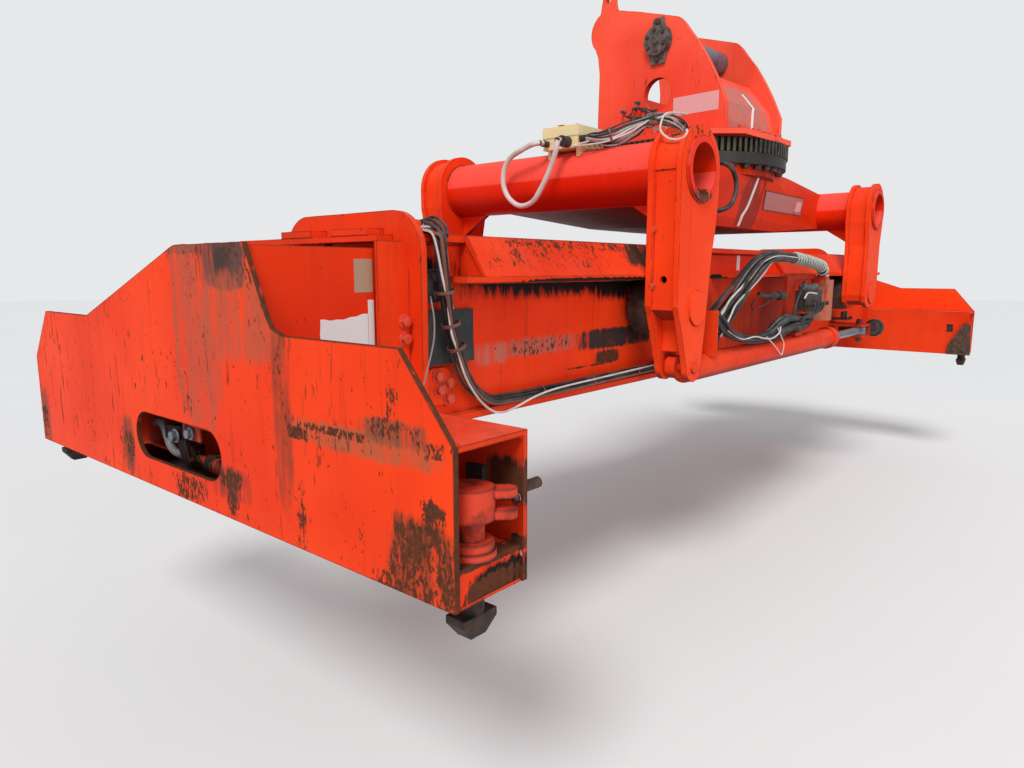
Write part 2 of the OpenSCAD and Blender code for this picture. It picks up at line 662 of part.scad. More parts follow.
module rail_segment(x0, x1, s0, s1) {
    box(x0, x1, -ledge_y, -web_y, ledge_z, ledge_z + ledge_t);
    translate([s0, 0, 0]) plate_x(0, s1 - s0) polygon([[-flange_y, frame_top_z - 2], [-flange_y,
        frame_top_z - 18],
        [-580, ledge_z + ledge_t], [-594, ledge_z + ledge_t], [-flange_y - 14, frame_top_z - 4]]);
    for (x = [s0 + 10, (s0 + s1) / 2, s1 - 22]) translate([x, 0, 0]) plate_x(0, 12)
        polygon([[-web_y, ledge_z + ledge_t], [-580, ledge_z + ledge_t], [-flange_y, web_z1], [-web_y,
            web_z1]]);
}
rail_end = frame_half - 120;
// The ledge is cut through between these, and the slope plates stop short of the cut
ledge_cut = [-500, -420];
slope_cut = [-800, 300];
module rail(flip) {
    color(paint) at_pin() turned(flip) {
        rail_segment(-rail_end, ledge_cut[0], -rail_end + 90, slope_cut[0]);
        rail_segment(ledge_cut[1], rail_end, slope_cut[1], rail_end - 90);
    }
}
module rail_right() { rail(false); }
module rail_left() { rail(true); }

// Telescopic ends
module beam(flip) {
    color(paint) at_pin() turned(flip) pads(beam_tail_x - 150, beam_tail_x, beam_in_y, beam_out_y,
        spine_y + run,
        web_y - web_t - run, beam_low_z, beam_top_z, web_z0 + run, web_z1 - run);
    color(paint) at_pin() turned(flip) difference() {
        box(-end_face_x + end_plate_t, beam_tail_x, -beam_out_y, -beam_in_y, beam_low_z, beam_top_z);
        box(-end_face_x + end_plate_t + 40, beam_tail_x + 1, -beam_out_y + beam_wall,
            -beam_in_y - beam_wall,
            beam_low_z + beam_wall, beam_top_z - beam_wall);
    }
}
module beam_near() { beam(false); }
module beam_far() { beam(true); }
module end_outline() {
    difference() {
        polygon([[-hw, 0], [hw, 0], [hw, 340], [1024, shoulder_z], [617, shoulder_z], [-60, 746], [-80,
            hump_z],
            [-447, hump_z], [-537, 566], [-556, 540], [-603, shoulder_z], [-1024, shoulder_z], [-hw, 340]]);
        translate([0, slot_z]) {
            square([slot_w - slot_h, slot_h], center = true);
            for (s = [-1, 1]) translate([s * (slot_w - slot_h) / 2, 0]) circle(r = slot_h / 2,
                $fn = round_fn);
        }
    }
}
module end_plate(flip) { color(paint) at_pin() turned(flip) plate_x(-end_face_x,
    -end_face_x + end_plate_t) end_outline(); }
module end_plate_near() { end_plate(false); }
module end_plate_far() { end_plate(true); }
rod_x = -lx + 60;
rod_z = 200;
module end_box(flip) {
    x0 = -end_face_x + end_plate_t;
    x1 = -end_in_x - 15;
    color(paint) at_pin() turned(flip) {
        difference() {
            box(x1, -end_in_x, -hw, hw, 0, end_box_h);
            box(x1 - 1, -end_in_x + 1, -beam_out_y, -beam_in_y, beam_low_z, end_box_h + 1);
            for (s = [-1, 1]) {
                box(x1 - 1, -end_in_x + 1, s * 1049 - 22, s * 1049 + 22, 181, 241);
                for (p = [[1163, 189], [1168, 60]]) translate([0, s * p[0], p[1]]) along_x(x1 - 1,
                    -end_in_x + 1, 11);
            }
        }
        for (s = [-1, 1]) {
            box(x0, x1, s > 0 ? -beam_in_y : -hw, s > 0 ? hw : -beam_out_y, end_box_h - 13, end_box_h);
            difference() {
                box(x0, x1, s > 0 ? ly - 200 : -ly - 42.5, s > 0 ? ly + 42.5 : -ly + 200, 0, base_z);
                translate([-lx, s * ly, -1]) cylinder(h = base_z + 2, r = 28 + run, $fn = 32);
            }
            difference() {
                box(x0, x1, s * rib_y - 8, s * rib_y + 8, 0, end_box_h - 13);
                box(rod_x - 30, rod_x + 30, s * rib_y - 9, s * rib_y + 9, 165, 235);
            }
        }
    }
}
module end_box_near() { end_box(false); }
module end_box_far() { end_box(true); }
module end_guides(flip) {
    color(steel) at_pin() turned(flip) {
        difference() {
            plate_x(-end_in_x, -end_in_x + 20) polygon([[1042, 0], [1048, 80], [1150, 257], [1196, 240],
                [1207, 0]]);
            for (y = [1160, 1090]) plate_x(-end_in_x - 1, -end_in_x + 21) translate([y,
                40]) circle(r = 11, $fn = 24);
        }
        translate([0, -1158, 205]) along_x(-end_in_x, -end_in_x + 65, 13);
    }
}
module end_guides_near() { end_guides(false); }
module end_guides_far() { end_guides(true); }
module linkage(flip) {
    ax = -end_face_x + 86;
    color(steel) at_pin() turned(flip) {
        translate([ax, 0, 95]) {
            along_y(-420, -55, 32);
            along_y(-55, 40, 14);
        }
        box(ax, -end_in_x - 15, -410, -370, 80, 110);
        box(ax - 20, ax + 20, 30, 80, 90, 138);
        plate_x(ax - 34, ax - 20) polygon([[30, 90], [80, 90], [110, 150], [186, 146], [186, 188], [75,
            198], [56, 175]]);
        translate([0, 83, 170]) along_x(ax - 46, ax - 20, 16);
        box(ax - 20, rod_x - 12, 160, 186, 150, 184);
        box(rod_x - 12, rod_x + 12, 140, 200, 150, rod_z + 12);
        translate([rod_x, 0, rod_z]) {
            along_y(-1000, 1000, 12);
            for (s = [-1, 1]) box(-13, 13, s * 1000 - 20, s * 1000 + 20, -14, 14);
        }
    }
}
module linkage_near() { linkage(false); }
module linkage_far() { linkage(true); }
module lock(flip, s) {
    color(steel) at_pin() turned(flip) translate([-lx, s * ly, 0]) {
        translate([0, 0, -46]) cylinder(h = 46 + base_z + 1, r = 28, $fn = 32);
        translate([0, 0, base_z + run]) cylinder(h = 16, r = 55, $fn = 32);
        translate([0, 0, base_z + 16]) cylinder(h = 20, r = 50, $fn = 32);
        translate([0, 0, base_z + 36]) cylinder(h = 46, r = 30, $fn = 32);
        translate([0, 0, base_z + 81]) cylinder(h = 70, r = 52, $fn = 32);
        rotate([0, 0, -45]) for (z = [0, 46]) translate([0, 0, base_z + 81 + z]) {
            translate([0, -20, 0]) cube([79, 40, 20]);
            translate([79, 0, 0]) cylinder(h = 20, r = 20, $fn = 32);
        }
        hull() {
            translate([0, 0, -52]) cube([lock_head_long, lock_head_wide, 18], center = true);
            translate([0, 0, -lock_drop + 5]) cube([46, 40, 10], center = true);
        }
    }
}
module lock_near_right() { lock(false, -1); }
module lock_near_left() { lock(false, 1); }
module lock_far_right() { lock(true, 1); }
module lock_far_left() { lock(true, -1); }

head_cheeks();
head_base();
head_fittings();
boom_pin();
pin_keepers();
slew_inner_ring();
slew_drive();
slew_gear_ring();
yoke_box();
yoke_tubes();
arm_near_right();
arm_near_left();
arm_far_right();
arm_far_left();
shift_barrel_right();
shift_barrel_left();
valve_carrier();
valve_block();
junction_box();
box_glands();
tube_harness();
tube_loop();
ring_hose();
valve_hoses();
valve_return();
wheel_near_right();
wheel_near_left();
wheel_far_right();
wheel_far_left();
frame_top();
frame_bottom();
frame_web_right();
frame_web_left();
frame_spine();
portal_near();
portal_far();
rail_right();
rail_left();
shift_rod_right();
shift_rod_left();
rod_bracket_right();
rod_bracket_left();
work_lamps();
frame_harness();
beam_near();
end_plate_near();
end_box_near();
end_guides_near();
linkage_near();
lock_near_right();
lock_near_left();
beam_far();
end_plate_far();
end_box_far();
end_guides_far();
linkage_far();
lock_far_right();
lock_far_left();
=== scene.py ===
"""Looks of a telescopic container spreader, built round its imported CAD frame."""
import math

import bmesh
import bpy
import numpy as np
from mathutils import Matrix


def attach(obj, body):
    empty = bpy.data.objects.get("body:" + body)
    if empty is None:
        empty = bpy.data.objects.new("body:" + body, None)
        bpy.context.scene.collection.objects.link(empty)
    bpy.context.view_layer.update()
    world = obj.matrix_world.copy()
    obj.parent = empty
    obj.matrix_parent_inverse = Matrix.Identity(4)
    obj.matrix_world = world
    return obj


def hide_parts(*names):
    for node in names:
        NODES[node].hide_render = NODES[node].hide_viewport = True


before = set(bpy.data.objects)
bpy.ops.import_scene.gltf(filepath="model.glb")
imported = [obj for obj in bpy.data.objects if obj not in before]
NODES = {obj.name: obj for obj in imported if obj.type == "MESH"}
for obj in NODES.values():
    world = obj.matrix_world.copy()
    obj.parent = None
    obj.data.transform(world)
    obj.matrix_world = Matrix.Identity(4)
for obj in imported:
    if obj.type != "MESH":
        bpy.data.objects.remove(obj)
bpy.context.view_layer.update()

bl_info = {
    "name": "Container spreader looks",
    "version": (1, 0),
    "blender": (4, 5, 0),
    "location": "View3D > Sidebar > Spreader",
    "description": "Paint, cables, fasteners and marks of a telescopic container spreader",
    "category": "Object",
}

MM = 0.001
TAU = 2 * math.pi
ENDS = ((1, "near"), (-1, "far"))  # the far half repeats the near half turned half way round
SIDES = (-1, 1)

# places in millimetres from the middle of the main frame
PIN_X, PIN_Z = 190.0, 1950.0       # the boom pin
HEAD_TURN = math.radians(-4)       # the tilt head stands a little turned on its ring
CHEEK_X = 350                      # outer face of a cheek, along the head
FLANGE_TOP = 1415
RING_LOW = 1250                    # underside of the toothed ring
TUBE_X, TUBE_Z, TUBE_R = 1340, 1088, 133   # cross tubes of the yoke, from the slewing axis
SIGN_Y = -415                      # slanted side of the yoke
WEB_FACE = 470
WEB_END = 2475
PLATE_FACE = -3010                 # outer face of an end plate
BACK_FACE = -2817                  # inner face of the box behind it
UP, DOWN = (0, 0, 1), (0, 0, -1)


# ---------------------------------------------------------------- places and shapes
def at(x, y, z):
    """Millimetres from the middle of the main frame to metres in the row frame."""
    x, y, z = np.broadcast_arrays(*(np.asarray(w, float) for w in (x, y, z)))
    return np.stack([(x - PIN_X) * MM, y * MM, (z - PIN_Z) * MM], -1)


def at_head(x, y, z):
    """The same for millimetres along and across the turned tilt head."""
    x, y, z = np.broadcast_arrays(*(np.asarray(w, float) for w in (x, y, z)))
    c, s = math.cos(HEAD_TURN), math.sin(HEAD_TURN)
    return at(PIN_X + c * x - s * y, s * x + c * y, z)


def at_end(flip, x, y, z):
    """The same on either half of the frame: flip is 1 for the near half and -1 for the far one."""
    return at(np.multiply(x, flip), np.multiply(y, flip), z)


def head_way(x, y, z):
    """A direction along, across and up the tilt head."""
    return at_head(x, y, z) - at_head(0, 0, 0)


def unit(v):
    """Vectors scaled to length one along the last axis."""
    return v / np.maximum(np.linalg.norm(v, axis=-1, keepdims=True), 1e-12)


def grid_faces(rows, cols, closed=True):
    """Quads between neighbouring rows of a grid whose columns close into a ring if asked."""
    i, j = np.meshgrid(np.arange(rows - 1), np.arange(cols if closed else cols - 1), indexing="ij")
    k = (j + 1) % cols
    return np.stack([i * cols + j, i * cols + k, (i + 1) * cols + k, (i + 1) * cols + j], -1).reshape(-1, 4)


def build(name, body, finish, parts, hides=(), smooth=True, crease=35):
    """Joins (points, faces) parts into one closed mesh piece that rides on a body.

    Its material slot holds its finish, and edges sharper than crease degrees stay sharp.
    """
    points = np.concatenate([p.reshape(-1, 3) for p, f in parts])
    starts = np.cumsum([0] + [p.reshape(-1, 3).shape[0] for p, f in parts])[:-1]
    faces = [q for (p, f), s in zip(parts, starts) for q in (f + s).tolist()]
    mesh = bpy.data.meshes.new(name)
    mesh.from_pydata(points.tolist(), [], faces)
    bm = bmesh.new()
    bm.from_mesh(mesh)
    bmesh.ops.remove_doubles(bm, verts=bm.verts, dist=2e-6)
    bmesh.ops.dissolve_degenerate(bm, edges=bm.edges, dist=1e-6)
    bmesh.ops.recalc_face_normals(bm, faces=bm.faces)
    bm.to_mesh(mesh)
    bm.free()
    mesh.polygons.foreach_set("use_smooth", [smooth] * len(mesh.polygons))
    if smooth:
        mesh.set_sharp_from_angle(angle=math.radians(crease))
    piece = bpy.data.objects.new(name, mesh)
    bpy.context.collection.objects.link(piece)
    mesh.materials.append(MAT[finish])
    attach(piece, body)
    if hides:
        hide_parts(*hides)
    return piece


def frame_of(normal, up=(0.0, 0.0, 1.0)):
    """Side, up and normal vectors of a face that looks along normal."""
    n = unit(np.asarray(normal, float))
    u = np.asarray(up, float)
    u = np.where(abs(np.sum(n * u, -1, keepdims=True)) > 0.95, np.array([0.0, 1.0, 0.0]), u)
    s = unit(np.cross(u, n))
    return s, np.cross(n, s), n


def turned_profile(profile, sides=24, hexness=None):
    """Points of a profile of (radius, height) rows turned round Z; a row's hexness draws it to six flats."""
    r, h = np.array(profile, float).T
    a = np.linspace(0, TAU, sides, endpoint=False)
    hexa = math.cos(math.pi / 6) / np.cos((a % (math.pi / 3)) - math.pi / 6)
    k = np.zeros(len(r)) if hexness is None else np.array(hexness, float)
    rr = r[:, None] * (1 + k[:, None] * (hexa[None] - 1))
    p = np.stack([rr * np.cos(a), rr * np.sin(a), np.repeat(h[:, None], sides, 1)], -1)
    return p, grid_faces(len(r), sides)


def placed(shape, where, normal, up=UP, scale=MM):
    """Copies of a shape in millimetres, its Z turned to each normal and its foot at each place."""
    p, f = shape
    p = p.reshape(-1, 3) * scale
    where = np.atleast_2d(where)
    s, u, n = frame_of(np.broadcast_to(np.asarray(normal, float), where.shape), up)
    q = (where[:, None] + p[None, :, :1] * s[:, None] + p[None, :, 1:2] * u[:, None]
         + p[None, :, 2:] * n[:, None])
    g = (f[None] + (np.arange(len(where)) * len(p))[:, None, None]).reshape(-1, f.shape[1])
    return q.reshape(-1, 3), g


def hex_bolt(size):
    """Hex head with a chamfered top on a washer, size across flats, in millimetres."""
    r, h = size / math.sqrt(3), size * 0.62
    washer = [(0, -1), (r * 1.32, -1), (r * 1.32, 3), (r * 1.25, 3.6)]
    head = [(r, 3.6), (r, h * 0.8), (r * 0.93, h * 0.97), (r * 0.8, h), (0, h)]
    return turned_profile(washer + head, 24, [0, 0, 0, 0, 1, 1, 0.6, 0, 0])


def circle(radius, count, start=0.0):
    """Places spread evenly round a circle, as two arrays."""
    a = np.linspace(0, TAU, count, endpoint=False) + start
    return radius * np.cos(a), radius * np.sin(a)


def smooth_path(points, steps=8):
    """Catmull-Rom curve through the points, as many steps to each span."""
    p = np.asarray(points, float)
    q = np.concatenate([[2 * p[0] - p[1]], p, [2 * p[-1] - p[-2]]])
    t = np.linspace(0, 1, steps, endpoint=False)[None, :, None]
    a, b, c, d = (q[i:len(q) - 3 + i][:, None] for i in range(4))
    r = 0.5 * (2 * b + (c - a) * t + (2 * a - 5 * b + 4 * c - d) * t ** 2
               + (3 * b - a - 3 * c + d) * t ** 3)
    return np.concatenate([r.reshape(-1, 3), p[-1:]])


def run_of(path):
    """Distance run at each point of a path."""
    return np.concatenate([[0], np.cumsum(np.linalg.norm(np.diff(path, axis=0), axis=1))])


def resampled(path, marks, wanted):
    """Points of a path at the wanted marks, by linear steps between the marks of its own points."""
    return np.stack([np.interp(wanted, marks, path[:, k]) for k in range(3)], -1)


def cross_frame(path, ref):
    """Unit tangent and two cross directions along a path, the first square to ref."""
    t = unit(np.gradient(path, axis=0))
    a = unit(np.cross(t, np.asarray(ref, float)))
    return t, a, np.cross(t, a)


def sweep(path, radius, sides=10, ref=(0.31, 0.22, 0.93), side=None):
    """Round section carried along a path in metres; radius in metres, one or one for each point."""
    path = np.asarray(path, float)
    t, a, b = cross_frame(path, ref)
    if side is not None:
        a = unit(side - np.sum(side * t, -1, keepdims=True) * t)
        b = np.cross(t, a)
    w = np.linspace(0, TAU, sides, endpoint=False)
    ring = a[:, None] * np.cos(w)[None, :, None] + b[:, None] * np.sin(w)[None, :, None]
    r = np.broadcast_to(np.asarray(radius, float), (len(path),))
    p = path[:, None] + ring * r[:, None, None]
    p = np.concatenate([np.repeat(path[:1, None], sides, 1), p, np.repeat(path[-1:, None], sides, 1)])
    return p, grid_faces(len(p), sides)


def strip(path, across, lift, width, thick):
    """Flat strip with a low rectangular section along a path.

    Across and lift are directions, and the sizes are in millimetres.
    """
    path = np.asarray(path, float)
    a, n = unit(np.asarray(across, float)), unit(np.asarray(lift, float))
    w, t = width * MM / 2, thick * MM
    corners = [(-w, -0.2 * t), (-w, 0.7 * t), (-w * 0.96, t), (w * 0.96, t), (w, 0.7 * t), (w, -0.2 * t)]
    p = path[:, None] + np.stack([x * a + y * n for x, y in corners])[None]
    caps = [p[k].mean(0).reshape(1, 1, 3).repeat(6, 1) for k in (0, -1)]
    p = np.concatenate([caps[0], p, caps[1]])
    return p, grid_faces(len(p), 6)


def rounded(w, h, r):
    """Outline of a rectangle with round corners, five points to each."""
    a = np.linspace(0, math.pi / 2, 5)
    c = np.stack([np.cos(a), np.sin(a)], -1) * r
    parts = []
    for k, (sx, sy) in enumerate([(1, 1), (-1, 1), (-1, -1), (1, -1)]):
        t = k * math.pi / 2
        m = np.array([[math.cos(t), math.sin(t)], [-math.sin(t), math.cos(t)]])
        parts.append(c @ m + np.array([sx * (w / 2 - r), sy * (h / 2 - r)]))
    return np.concatenate(parts)


def slab(outline, thick, edge):
    """Plate of an outline: its rows run from the middle over a softened edge to the middle below."""
    o = np.asarray(outline, float)
    c = o.mean(0)
    k = 1 - edge / np.maximum(np.linalg.norm(o - c, axis=1, keepdims=True), 1e-6)
    rows = [(o * 0 + c, thick), ((o - c) * k * 0.5 + c, thick), ((o - c) * k + c, thick),
            (o, thick - edge), (o, 0), (o * 0 + c, 0)]
    p = np.stack([np.concatenate([q, np.full((len(q), 1), h)], 1) for q, h in rows])
    return p, grid_faces(len(rows), len(o))


def tile(w, h, r, thick, edge, where, normal, up=UP):
    """Rectangular plate with round corners, its back at a place and its face along normal."""
    return placed(slab(rounded(w, h, r), thick, edge), where, normal, up)


def bead(points, radius, pitch=7 * MM):
    """Weld bead: a round section whose radius ripples once each pitch along a straight or bent run.

    The points and the pitch are in metres, the radius in millimetres.
    """
    p = np.asarray(points, float)
    s = run_of(p)
    q = np.linspace(0, s[-1], max(4, int(s[-1] / (pitch / 2))))
    r = radius * MM * (1 + 0.16 * np.sin(q * TAU / pitch) + 0.1 * np.sin(q * 41.0) + 0.06 * np.sin(q * 97.0))
    ref = (0.11, 0.27, 0.95) if abs(unit(p[-1] - p[0])[2]) < 0.8 else (0.9, 0.35, 0.1)
    return sweep(resampled(p, s, q), r, 6, ref)


def strands(path, radii, spread, seed, twist, flare, wander, ref=(0.31, 0.22, 0.93), flat=1.0):
    """Strands round a common path: each starts at its place in a packed disc and drifts round and in and out.

    Flare spreads the bundle along its way, and flat is how much of that goes into its second direction.
    """
    rng = np.random.default_rng(seed)
    t, a, b = cross_frame(path, ref)
    s = np.linspace(0, 1, len(path))
    w = np.interp(s, np.linspace(0, 1, len(flare)), flare)
    free = np.minimum(s * 8, 1)
    golden = 2.39996
    out, n = [], len(radii)
    for k, r in enumerate(radii):
        ang = golden * k + twist * s * rng.uniform(0.5, 1.3) + wander * np.sin(s * rng.uniform(6, 14)) * free
        dep = spread * math.sqrt((k + 0.5) / n) * w * (1 + wander * np.sin(s * rng.uniform(7, 16)) * free)
        across = np.minimum(dep, spread * (1 + (w - 1) * flat))
        q = path + a * (dep * np.cos(ang))[:, None] + b * (across * np.sin(ang))[:, None]
        out.append((q, r))
    return out


def tubes(runs, sides=7):
    """Round tubes for a list of (path, radius in millimetres)."""
    return [sweep(q, r * MM, sides) for q, r in runs]


def hose_end(r):
    """Crimped ferrule and hex nut of a hose of radius r, standing on its port."""
    rows = [(0, 0), (1.75, 0), (1.75, 1.1), (1.5, 1.3), (1.3, 1.35), (1.3, 1.9), (1.22, 2.0), (1.3, 2.1),
            (1.3, 2.7), (1.22, 2.8), (1.3, 2.9), (1.3, 3.6), (1.1, 3.8), (0, 3.8)]
    return turned_profile([(x * r, y * r) for x, y in rows], 12, [0, 1, 1, 0.5] + [0] * 10)


def ends_of(runs, last=False):
    """Hose ends on the first or the last point of every run."""
    parts = []
    for q, r in runs:
        a, b = (q[-1], q[-3]) if last else (q[0], q[2])
        parts.append(placed(hose_end(r), a, unit(b - a)))
    return parts


def band(path, index, r, wide):
    """Cable ties: rings of rectangular section round the path at its points of the index."""
    t = unit(np.gradient(path, axis=0))
    ring = turned_profile([(r - 1, -wide), (r + 2, -wide), (r + 2, wide), (r - 1, wide), (r - 1, -wide)], 14)
    return [placed(ring, path[i], t[i]) for i in index]


def ribbed(path, r, pitch=11 * MM, depth=2.2):
    """Corrugated hose: the radius swells and shrinks once each pitch along the path."""
    s = run_of(path)
    q = np.arange(0, s[-1], pitch / 4)
    return sweep(resampled(path, s, q), (r + depth * np.sin(q * TAU / pitch)) * MM, 10)


def coiled(path, pitch, out, r):
    """Spiral guard: a thin section that winds round a path once each pitch, at a distance out."""
    u = np.linspace(0, len(path) - 1, len(path) * 16)
    core = resampled(path, np.arange(len(path)), u)
    t, a, b = cross_frame(core, (0.1, 1.0, 0.2))
    phi = run_of(core) / pitch * TAU
    radial = a * np.cos(phi)[:, None] + b * np.sin(phi)[:, None]
    return sweep(core + radial * out, r, 7, side=radial)


def yoke(points):
    """Yoke points in millimetres, measured from the slewing axis, as a smooth path in metres."""
    p = np.array(points, float)
    return smooth_path(at(p[:, 0] + PIN_X, p[:, 1], p[:, 2]), 6)


def main_path(points):
    """Points of the main frame as a smooth path in metres."""
    return smooth_path(at(*np.array(points, float).T), 6)


# ---------------------------------------------------------------- materials
class Shader:
    """Wires the nodes of one material."""

    def __init__(self, name, rough=0.5, metal=0.0, specular=0.5):
        self.material = bpy.data.materials.new(name)
        self.material.use_nodes = True
        self.tree = self.material.node_tree
        self.tree.nodes.clear()
        sockets = {"Roughness": rough, "Metallic": metal, "Specular IOR Level": specular}
        self.bsdf = self.node("ShaderNodeBsdfPrincipled", sockets)
        self.node("ShaderNodeOutputMaterial", {0: self.bsdf.outputs[0]})
        self.coord = self.node("ShaderNodeTexCoord")
        self.ragged = None

    def node(self, kind, sockets=None, **settings):
        """A node with its settings, and its sockets filled by name or number with values or links."""
        n = self.tree.nodes.new(kind)
        for k, v in settings.items():
            setattr(n, k, v)
        for k, v in (sockets or {}).items():
            self.put(n.inputs[k], v)
        return n

    def put(self, socket, value):
        if isinstance(value, bpy.types.NodeSocket):
            self.tree.links.new(value, socket)
        elif isinstance(value, (tuple, list)) and len(value) == 3 and len(socket.default_value) == 4:
            socket.default_value = (*value, 1)
        else:
            socket.default_value = value

    def math(self, op, a, b=0.0, clamp=False):
        return self.node("ShaderNodeMath", {0: a, 1: b}, operation=op, use_clamp=clamp).outputs[0]

    def times(self, a, b, clamp=False):
        return self.math("MULTIPLY", a, b, clamp)

    def plus(self, a, b, clamp=False):
        return self.math("ADD", a, b, clamp)

    def most(self, a, b):
        return self.math("MAXIMUM", a, b)

    def vector(self, op, a, b=(0, 0, 0)):
        return self.node("ShaderNodeVectorMath", {0: a, 1: b}, operation=op).outputs

    def parts_of(self, output):
        """The three numbers of one of the texture coordinates."""
        return self.node("ShaderNodeSeparateXYZ", {0: self.coord.outputs[output]}).outputs

    def place(self, stretch, shift):
        sockets = {"Vector": self.coord.outputs["Object"], "Scale": stretch, "Location": shift}
        return self.node("ShaderNodeMapping", sockets).outputs[0]

    def noise(self, scale, detail=3.0, rough=0.55, stretch=(1, 1, 1), shift=(0, 0, 0), bend=0.0):
        sockets = {"Vector": self.place(stretch, shift), "Scale": scale, "Detail": detail, "Roughness": rough,
                   "Distortion": bend}
        return self.node("ShaderNodeTexNoise", sockets).outputs["Fac"]

    def step(self, value, low, high):
        """Smooth step from 0 at low to 1 at high."""
        sockets = {"Value": value, "From Min": low, "From Max": high}
        return self.node("ShaderNodeMapRange", sockets, interpolation_type="SMOOTHSTEP", clamp=True).outputs[0]

    def mix(self, fac, a, b):
        """Colour a where fac is 0 and b where it is 1; sockets 6 and 7 are the node's two colours."""
        return self.node("ShaderNodeMix", {0: fac, 6: a, 7: b}, data_type="RGBA").outputs[2]

    def zone(self, where, size, power):
        """Density round a place: one in the middle, falling to nothing at its half sizes, with a ragged border.

        The distance is the root of the sum of fourth powers, so a place has square shoulders, plus streaky noise.
        """
        inv = [1.0 / w for w in size]
        near = self.place(inv, [-w * k for w, k in zip(where, inv)])
        distance = self.vector("LENGTH", self.vector("MULTIPLY", near, near)[0])["Value"]
        if self.ragged is None:
            streaky = self.noise(17.0, 6.0, 0.75, stretch=(2.5, 2.5, 0.45))
            self.ragged = self.times(self.math("SUBTRACT", streaky, 0.5), 1.6)
        return self.step(self.plus(distance, self.ragged), 1.0, 1.0 - power)

    def bevel(self, radius):
        """The face normal rounded over sharp edges."""
        return self.node("ShaderNodeBevel", {"Radius": radius}, samples=4).outputs[0]

    def edges(self, radius, high):
        """Mask of sharp edges, where the rounded normal leaves the face normal."""
        flat = self.node("ShaderNodeNewGeometry").outputs["Normal"]
        match = self.vector("DOT_PRODUCT", self.bevel(radius), flat)["Value"]
        return self.step(self.math("SUBTRACT", 1.0, match), 0.01, high)

    def relief(self, height, strength, distance, round_edge=0.0):
        sockets = {"Strength": strength, "Distance": distance, "Height": height}
        if round_edge:
            sockets["Normal"] = self.bevel(round_edge)
        self.put(self.bsdf.inputs["Normal"], self.node("ShaderNodeBump", sockets).outputs[0])

    def color(self, value):
        self.put(self.bsdf.inputs["Base Color"], value)

    def rough(self, value):
        self.put(self.bsdf.inputs["Roughness"], value)


def shaded(color, *shares):
    """A colour with its channels brought down to one share or to a share each."""
    return tuple(w * k for w, k in zip(color, shares * 3 if len(shares) == 1 else shares))


RUST = (0.038, 0.016, 0.011)
RUST_PALE = (0.15, 0.045, 0.02)
# the underside colour is painted shade on faces that look down
UNDERSIDE_SHADE = (0.10, 0.012, 0.010)
DIRT_RUN = (0.24, 0.026, 0.01)
GRIME = (0.20, 0.035, 0.02)


